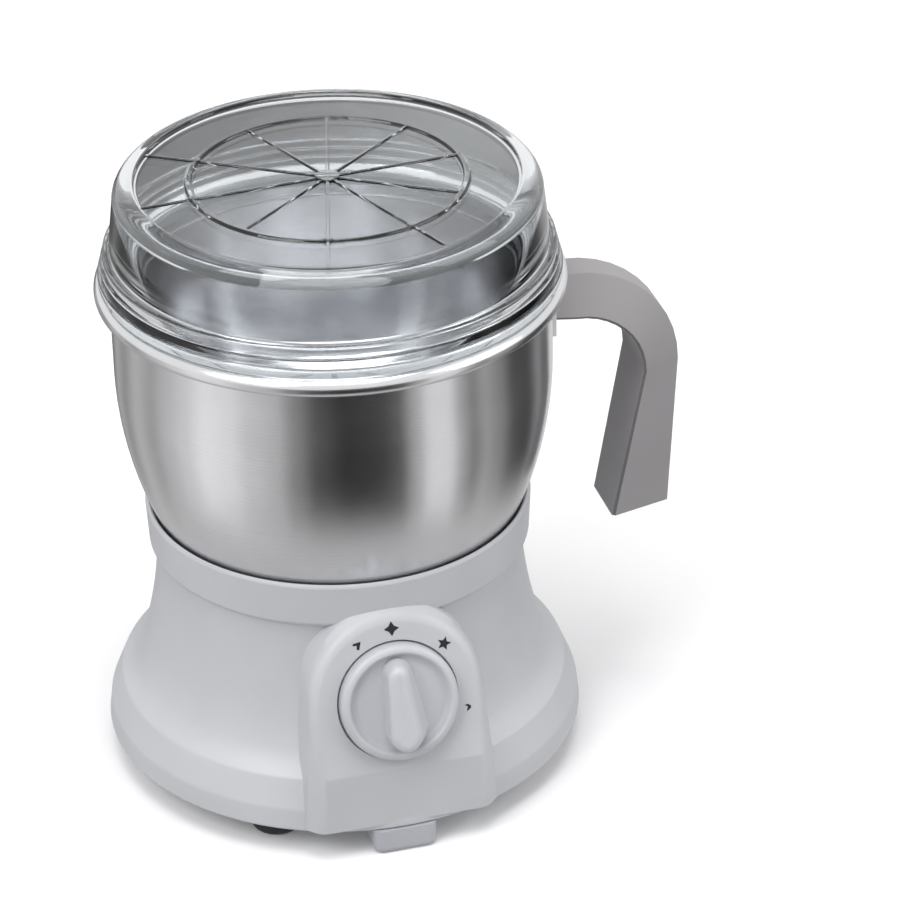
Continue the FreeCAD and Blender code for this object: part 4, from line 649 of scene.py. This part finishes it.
class GRINDER_OT_knob(bpy.types.Operator):
    """Knob with a rounded ring, a dished face and a finger ridge."""

    bl_idname = "grinder.knob"
    bl_label = "Knob"

    def execute(self, context):
        out = sizes().knob_radius
        disc = turned("knob_cap", [
            (0, -1.2),
            (out, -1.2, "round", 0.3),
            (out, 3.4, "round", 1.5),
            (12.3, 3.4, "round", 0.7),
            (11.4, 1.7, "round", 0.5),
            (0, 1.9),
        ], 128)
        deselect()
        bpy.ops.mesh.primitive_circle_add(vertices=64, radius=4.7 * MM, fill_type="NGON")
        ridge = bpy.context.object
        ridge.name = "knob_ridge"
        edit(ridge)
        pick("verts", lambda at, item: at.y > 0.01)
        stretch(0.79, 0.79, 1)
        move(x=0.0, y=7.4)
        pick("verts", lambda at, item: at.y < 0.01)
        stretch(1.15, 1, 1)
        move(x=1.1, y=-6.6)
        bpy.ops.mesh.select_all(action="SELECT")
        move(z=1.6)
        draw_out(z=7.1)
        stretch(0.66, 0.95, 1, (-3.2, 0.4, 0))
        pick("edges", lambda at, item: at.z > 8.69)
        bpy.ops.mesh.bevel(offset=1.8 * MM, segments=8, affect="EDGES")
        bpy.ops.mesh.select_mode(type="VERT")
        bpy.ops.mesh.select_all(action="SELECT")
        bpy.ops.mesh.normals_make_consistent(inside=False)
        bpy.ops.object.mode_set(mode="OBJECT")
        knob = join(disc, ridge)
        to_panel(knob)
        smooth(knob, 40)
        settle(knob, "moulded_abs_knob", "knob", "knob_plastic", "knob")
        return {"FINISHED"}


class GRINDER_OT_feet(bpy.types.Operator):
    """Three round rubber feet near the edge and one in the middle, pressed into the bottom cover."""

    bl_idname = "grinder.feet"
    bl_label = "Rubber feet"

    def execute(self, context):
        top = sizes().edge_height + 0.3
        feet = []
        for angle in (None, 115, 235, 355):
            foot = turned(f"rubber_foot_{len(feet)}", [
                (0, 0),
                (6.5, 0, "round", 1.6),
                (6.0, top),
                (0, top),
            ], 64)
            if angle:
                turn = math.radians(angle)
                foot.location = (47 * MM * math.cos(turn), 47 * MM * math.sin(turn), 0)
            only(foot)
            bpy.ops.object.transform_apply(location=True, rotation=True, scale=True)
            feet.append(foot)
        whole = join(*feet)
        whole.name = "rubber_feet_round"
        smooth(whole)
        settle(whole, "rubber_black", "base", "black_rubber", "rubber_feet")
        return {"FINISHED"}


class GRINDER_OT_bowl(bpy.types.Operator):
    """Drawn steel bowl with a flat floor, a curved lower wall and a curled rim."""

    bl_idname = "grinder.bowl"
    bl_label = "Bowl"

    def execute(self, context):
        s = sizes()
        out, sheet, bead, high = s.bowl_radius, s.sheet, s.bead_radius, s.bead_height
        middle = out - sheet + bead

        def curl(radius, angle, *bend):
            angle = math.radians(angle)
            return (middle + radius * math.cos(angle), high + radius * math.sin(angle), *bend)

        coil = bead - sheet
        bowl = turned("bowl_shell", [
            (8.0, 60.0),
            (34.0, 60.0),
            (out - 7.0, 68.5, "bend", -13.0),
            (out, 104.0, "bend", -96.0),
            (out, high),
            curl(coil, 80, "bend", coil),
            curl(coil, -20, "bend", coil),
            curl(coil, -120, "bend", coil),
            curl(bead, -120),
            curl(bead, -20, "bend", -bead),
            curl(bead, 80, "bend", -bead),
            (out - sheet, high, "bend", -bead),
            (out - sheet, 104.0),
            (out - 7.0 - 0.74, 68.8, "bend", 95.2),
            (34.0, 60.8, "bend", 12.2),
            (8.0, 60.8),
            (8.0, 60.0),
        ], 240)
        smooth(bowl, 40)
        settle(bowl, "brushed_stainless", "bowl", "brushed_steel", "steel_bowl")
        return {"FINISHED"}


class GRINDER_OT_handle(bpy.types.Operator):
    """Side handle: a leaning grip with a wide inner side and an arm that bends to the bowl."""

    bl_idname = "grinder.handle"
    bl_label = "Handle"

    def execute(self, context):
        deselect()
        bpy.ops.mesh.primitive_plane_add(size=MM)
        grip = bpy.context.object
        grip.name = "handle_shell"
        # The section at the lower end is drawn out up to the bend, which turns a quarter to the arm.
        edit(grip)
        bpy.ops.mesh.select_all(action="SELECT")
        stretch(15.6, 16.4, 1)
        pick("verts", lambda at, item: at.x > 0)
        stretch(1, 0.5, 1)
        bpy.ops.mesh.select_all(action="SELECT")
        move(75.4, 0, 52)
        draw_out(x=4.95, z=40)
        stretch(10.3 / 15.6, 18.4 / 16.4, 1, (80.35, 0, 92))
        pick("verts", lambda at, item: at.z > 91.9 and at.x > 80.35)
        stretch(1, 8.2 / 9.2, 1)
        pick("faces", lambda at, item: at.z > 91.9)
        bpy.ops.mesh.spin(
            steps=10,
            angle=math.pi / 2,
            center=(58.15 * MM, 0, 92 * MM),
            axis=(0, 1, 0),
        )
        draw_out(x=-5.1)
        stretch(1, 1, 9 / 10.3, (53, 0, 114.2))
        bpy.ops.mesh.select_mode(type="VERT")
        bpy.ops.mesh.select_all(action="SELECT")
        bpy.ops.mesh.remove_doubles(threshold=2e-6)
        bpy.ops.mesh.normals_make_consistent(inside=False)
        bpy.ops.object.mode_set(mode="OBJECT")
        grip.data.materials.append(FINISHES["moulded_abs_handle"])
        grip.data.materials.append(FINISHES["soft_seam_grey"])
        edit(grip)
        # A narrow groove runs up beside each edge of the inner face and fades in the bend; its darker
        # grey is painted shade in the groove.
        for side in (-1, 1):
            pick(
                "edges",
                lambda at, item: at.y * side > 6
                and (
                    (at.z < 91 and at.x < 74 and item.calc_length() > 0.03)
                    or (at.z > 91 and abs(math.hypot(at.x - 58.15, at.z - 92) - 17.05) < 0.8)
                ),
            )
            bpy.ops.mesh.bevel(offset=0.8 * MM, segments=4, profile=0.15, affect="EDGES", material=1)
        bpy.ops.object.mode_set(mode="OBJECT")
        sharp = math.radians(42)
        modify(grip, "BEVEL", width=0.9 * MM, segments=3, limit_method="ANGLE", angle_limit=sharp)
        smooth(grip)
        settle(grip, "moulded_abs_handle", "bowl", "handle_plastic", "handle_grip")
        return {"FINISHED"}


class GRINDER_OT_lid(bpy.types.Operator):
    """Clear lid with three ridges, a thick rounded edge and a sunk top with a boss, a circle and ten
    ribs, four of which run on to the edge."""

    bl_idname = "grinder.lid"
    bl_label = "Lid"

    def execute(self, context):
        # From the skirt inside the rim over three ridges, the wall, the rounded shoulder and the
        # sunk top with its raised circle to the middle, then back along the inside.
        low = sizes().lid_bottom
        outline = [(47.4, low - 6), (49.4, low - 6, "round", 0.4), (49.4, low)]
        for count in range(3):
            radius, base = 54.9 - 0.7 * count, low + 2.7 * count
            outline += [(radius, base, "round", 0.5), (radius, base + 2.0, "round", 0.5)]
            outline += [(radius - 0.9, base + 2.0), (radius - 0.9, base + 2.7)]
        outline = outline[:-1] + [
            (51.9, low + 8.1),
            (50.5, low + 20.1),
            (46.3, low + 24.3, "bend", -4.2),
            (45.6, low + 24.3, "round", 0.3),
            (44.9, low + 23.5, "round", 0.4),
            (33.5, low + 23.5, "round", 0.2),
            (33.1, low + 24.1, "round", 0.25),
            (32.0, low + 24.1, "round", 0.25),
            (31.6, low + 23.5, "round", 0.2),
            (0, low + 23.5),
            (0, low + 21.5),
            (44.9, low + 21.5),
            (48.5, low + 19.5, "bend", 8.4),
            (49.9, low + 8.1),
            (47.4, low, "round", 0.6),
            (47.4, low - 6),
        ]
        lid = turned("lid_shell", outline, 200)
        top = low + 23.5
        ribs = []
        studs = [turned("lid_boss", [
            (0, top - 1),
            (3.0, top - 1),
            (3.0, top + 0.8, "round", 0.4),
            (0, top + 0.9),
        ], 48)]
        for count in range(10):
            turn = math.radians(36 * count - 104)
            long = count in (0, 1, 7, 8)
            reach = 45.2 if long else 32.4
            rib = box_piece(f"lid_rib_{count}", (2.2, -0.45, top - 1), (reach, 0.45, top + 0.55))
            modify(rib, "BEVEL", width=0.3 * MM, segments=2)
            rib.rotation_euler = (0, 0, turn)
            ribs.append(rib)
            if long:
                stud = turned(f"lid_stud_{count}", [
                    (0, top - 1),
                    (1.3, top - 1),
                    (1.3, top + 0.8, "round", 0.4),
                    (0, top + 0.85),
                ], 24)
                stud.location = (32.5 * MM * math.cos(turn), 32.5 * MM * math.sin(turn), 0)
                studs.append(stud)
        for piece in ribs + studs:
            only(piece)
            bpy.ops.object.transform_apply(location=True, rotation=True, scale=True)
        for added in (join(*ribs), join(*studs)):
            modify(lid, "BOOLEAN", operation="UNION", object=added, solver="EXACT")
            bpy.data.objects.remove(added)
        smooth(lid, 40)
        settle(lid, "clear_san_plastic", "lid", "clear_plastic", "clear_lid")
        return {"FINISHED"}


NODE_FINISHES = {
    "rubber_black": ("cord_gland", "motor_mounts", "motor_seal", "blade_seal", "rubber_feet"),
    "moulded_abs_foot": ("bottom_cover",),
    "nylon_dark_grey": ("bowl_foot",),
    "nylon_black": ("rotary_switch", "knob_spindle", "cooling_fan", "drive_coupling", "driven_coupling"),
    "polycarbonate_white": ("terminal_block", "thermal_fuse"),
    "film_capacitor_yellow": ("noise_capacitor",),
    "silicone_grey": ("lid_seal",),
    "carbon_graphite": ("carbon_brushes",),
    "ground_steel": ("lower_bearing", "upper_bearing", "motor_shaft", "blade_shaft", "blade_collar"),
    "zinc_plated_steel": (
        "panel_screws",
        "cover_screws",
        "switch_nut",
        "motor_bolts",
        "brush_springs",
        "foot_screws",
        "handle_screw",
    ),
    "pressed_steel_sheet": ("lower_motor_bracket", "upper_motor_bracket", "stator_spacers"),
    "blade_stainless": ("cutting_blade", "blade_nut"),
    "brushed_stainless": ("handle_bracket", "steel_bowl"),
    "turned_aluminium": ("bearing_housing",),
    "sintered_bronze": ("blade_bush",),
    "brass_sheet": ("switch_terminals", "brush_holders"),
    "copper_bars": ("commutator",),
    "silicon_steel_laminations": ("motor_stator", "armature_core"),
    "enamelled_copper_wire": ("field_coils", "armature_winding"),
    "moulded_abs_housing": ("upper_housing", "control_panel"),
    "moulded_abs_knob": ("knob",),
    "moulded_abs_handle": ("handle_grip",),
    "clear_san_plastic": ("clear_lid",),
}


class GRINDER_OT_working_parts(bpy.types.Operator):
    """Finish of every part that keeps its CAD shape."""

    bl_idname = "grinder.working_parts"
    bl_label = "Working parts"

    def execute(self, context):
        for name, parts in NODE_FINISHES.items():
            for part in parts:
                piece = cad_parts[part]
                if not piece.material_slots:
                    piece.data.materials.append(FINISHES[name])
                for slot in piece.material_slots:
                    slot.material = FINISHES[name]
        return {"FINISHED"}


def soft_light(name, place, width, power):
    """Square white softbox aimed at the middle of the object, in metres and watts."""
    deselect()
    bpy.ops.object.light_add(type="AREA", location=place)
    lamp = bpy.context.object
    lamp.name = name
    lamp.data.shape = "SQUARE"
    lamp.data.size = width
    lamp.data.energy = power
    lamp.rotation_euler = (Vector((0, 0, 0.07)) - Vector(place)).to_track_quat("-Z", "Y").to_euler()


# Painted reflection: bearing in degrees round the object, and how bright the table glows there for
# reflections only, as light and dark bands that stand in for studio screens.
PAINTED_REFLECTION_BANDS = (
    (-180, 0.75),
    (-168, 0.98),
    (-156, 0.9),
    (-143, 0.68),
    (-132, 0.56),
    (-122, 0.27),
    (-112, 0.08),
    (-98, 0.03),
    (-84, 0.04),
    (-74, 0.1),
    (-66, 0.45),
    (-58, 0.85),
    (-49, 0.85),
    (-41, 0.42),
    (-35, 0.24),
    (-27, 0.4),
    (-18, 0.28),
    (-6, 0.08),
    (6, 0.06),
    (22, 0.35),
    (38, 0.8),
    (52, 0.72),
    (66, 0.3),
    (80, 0.06),
    (95, 0.05),
    (106, 0.2),
    (116, 0.45),
    (128, 0.32),
    (142, 0.55),
    (156, 0.42),
    (168, 0.6),
    (180, 0.75),
)


# Level of the painted reflection close round the object.
PAINTED_REFLECTION_NEAR_LEVEL = 0.58


class GRINDER_OT_stage(bpy.types.Operator):
    """Pale table, soft studio light and the camera at the photograph's angle. The table carries a
    painted
    reflection: for glossy rays only it glows in light and dark bands by their bearing round the object,
    in place of a studio's screens, and the polished steel mirrors them as upright bands."""

    bl_idname = "grinder.stage"
    bl_label = "Stage"

    def execute(self, context):
        deselect()
        bpy.ops.mesh.primitive_plane_add(size=8, location=(0, 0, 0))
        table = bpy.context.object
        table.name = "table"
        _, tree, shader, where = finish("matt_white_table", roughness=0.7)
        path = add_node(tree, "ShaderNodeLightPath")
        # The table throws less light back on the object than it shows to the camera.
        paint = add_node(
            tree,
            "ShaderNodeMixRGB",
            [("Fac", path.outputs["Is Diffuse Ray"])],
            color1=linear(colours().floor),
            color2=linear(shade(colours().floor, 0.8)),
        )
        tree.links.new(shader.inputs["Base Color"], paint.outputs[0])
        shader.inputs["Emission Color"].default_value = (1, 1, 1, 1)
        seen = add_node(
            tree,
            "ShaderNodeMath",
            [(0, path.outputs["Is Camera Ray"]), (1, path.outputs["Is Transmission Ray"])],
            operation="MAXIMUM",
        )
        split = add_node(tree, "ShaderNodeSeparateXYZ", [("Vector", where)])
        bearing = add_node(
            tree,
            "ShaderNodeMath",
            [(0, split.outputs["Y"]), (1, split.outputs["X"])],
            operation="ARCTAN2",
        )
        turn = add_node(
            tree,
            "ShaderNodeMapRange",
            [("Value", bearing.outputs[0])],
            from_min=-math.pi,
            from_max=math.pi,
        )
        bands = add_node(tree, "ShaderNodeValToRGB", [("Fac", turn.outputs[0])])
        bands.color_ramp.interpolation = "EASE"
        stops = bands.color_ramp.elements
        while len(stops) < len(PAINTED_REFLECTION_BANDS):
            stops.new(0.5)
        for stop, (degrees, level) in zip(stops, PAINTED_REFLECTION_BANDS):
            stop.position = (degrees + 180) / 360
            stop.color = (level, level, level, 1)
        reach = add_node(tree, "ShaderNodeVectorMath", [("Vector", where)], operation="LENGTH")
        # Away from the object the table goes over into the white background.
        fade = add_node(
            tree,
            "ShaderNodeMapRange",
            [("Value", reach.outputs["Value"])],
            from_min=0.35,
            from_max=1.4,
            to_min=0.06,
            to_max=1.0,
        )
        glow = add_node(
            tree,
            "ShaderNodeMath",
            [(0, seen.outputs[0]), (1, fade.outputs[0])],
            operation="MULTIPLY",
        )
        tree.links.new(shader.inputs["Emission Strength"], glow.outputs[0])
        # Painted reflection: close round the object reflections see an even level, further out the
        # bands.
        far = add_node(
            tree,
            "ShaderNodeMapRange",
            [("Value", reach.outputs["Value"])],
            interpolation_type="SMOOTHSTEP",
            from_min=0.085,
            from_max=0.15,
            to_min=0.0,
            to_max=1.0,
        )
        drop = add_node(tree, "ShaderNodeMath", [(0, bands.outputs["Color"])], operation="SUBTRACT")
        drop.inputs[1].default_value = PAINTED_REFLECTION_NEAR_LEVEL
        level = add_node(
            tree,
            "ShaderNodeMath",
            [(0, drop.outputs[0]), (1, far.outputs[0])],
            operation="MULTIPLY_ADD",
        )
        level.inputs[2].default_value = PAINTED_REFLECTION_NEAR_LEVEL
        # Painted reflection: the glow that glossy rays see on the table in place of its own shading.
        studio = add_node(tree, "ShaderNodeEmission", [("Strength", level.outputs[0])])
        mix = add_node(
            tree,
            "ShaderNodeMixShader",
            [(0, path.outputs["Is Glossy Ray"]), (1, shader.outputs[0]), (2, studio.outputs[0])],
        )
        tree.links.new(tree.nodes["Material Output"].inputs["Surface"], mix.outputs[0])
        table.data.materials.append(FINISHES["matt_white_table"])

        world = bpy.data.worlds.new("studio")
        world.use_nodes = True
        context.scene.world = world
        tree = world.node_tree
        tree.nodes.clear()
        path = add_node(tree, "ShaderNodeLightPath")
        seen = add_node(
            tree,
            "ShaderNodeMath",
            [(0, path.outputs["Is Camera Ray"]), (1, path.outputs["Is Glossy Ray"])],
            operation="MAXIMUM",
        )
        seen = add_node(
            tree,
            "ShaderNodeMath",
            [(0, seen.outputs[0]), (1, path.outputs["Is Transmission Ray"])],
            operation="MAXIMUM",
        )
        strength = add_node(
            tree, "ShaderNodeMapRange", [("Value", seen.outputs[0])], to_min=0.45, to_max=1.0
        )
        sky = add_node(
            tree,
            "ShaderNodeBackground",
            [("Strength", strength.outputs[0])],
            color=(1.0, 1.0, 1.0, 1),
        )
        add_node(tree, "ShaderNodeOutputWorld", [("Surface", sky.outputs[0])])

        soft_light("key_left", (-1.0, -0.6, 1.2), 0.8, 11)
        soft_light("fill_right", (1.2, -0.6, 0.9), 1.0, 7.5)
        soft_light("top", (-0.1, -0.2, 1.5), 0.9, 12)

        camera = bpy.data.cameras.new("photo_camera")
        camera.sensor_width = 36
        camera.lens = 160
        camera.clip_start = 0.05
        holder = bpy.data.objects.new("photo_camera", camera)
        context.scene.collection.objects.link(holder)
        forward = Vector((0.2269, 0.8352, -0.5009))
        turn = forward.to_track_quat("-Z", "Y").to_matrix() @ Matrix.Rotation(math.radians(-1.0), 3, "Z")
        holder.matrix_world = Matrix.Translation((-0.1934, -0.8165, 0.5630)) @ turn.to_4x4()
        context.scene.camera = holder
        context.scene.view_settings.view_transform = "Standard"
        return {"FINISHED"}


class GRINDER_PT_panel(bpy.types.Panel):
    """Sidebar list of the pieces."""

    bl_idname = "GRINDER_PT_panel"
    bl_label = "Spice grinder"
    bl_space_type = "VIEW_3D"
    bl_region_type = "UI"
    bl_category = "Grinder"

    def draw(self, context):
        for piece in PIECES:
            self.layout.operator(piece.bl_idname)
        for group in (sizes(), colours()):
            for name in group.__annotations__:
                self.layout.prop(group, name)


PIECES = (
    GRINDER_OT_stage,
    GRINDER_OT_working_parts,
    GRINDER_OT_housing,
    GRINDER_OT_panel,
    GRINDER_OT_marks,
    GRINDER_OT_knob,
    GRINDER_OT_feet,
    GRINDER_OT_bowl,
    GRINDER_OT_handle,
    GRINDER_OT_lid,
)
CLASSES = (GrinderSizes, GrinderColours, *PIECES, GRINDER_PT_panel)


def register():
    for item in CLASSES:
        bpy.utils.register_class(item)
    bpy.types.Scene.grinder_sizes = bpy.props.PointerProperty(type=GrinderSizes)
    bpy.types.Scene.grinder_colours = bpy.props.PointerProperty(type=GrinderColours)


def unregister():
    del bpy.types.Scene.grinder_colours
    del bpy.types.Scene.grinder_sizes
    for item in reversed(CLASSES):
        bpy.utils.unregister_class(item)


def main():
    """Make every piece in order."""
    register()
    make_finishes()
    for piece in PIECES:
        group, name = piece.bl_idname.split(".")
        getattr(getattr(bpy.ops, group), name)()


if __name__ == "__main__":
    main()
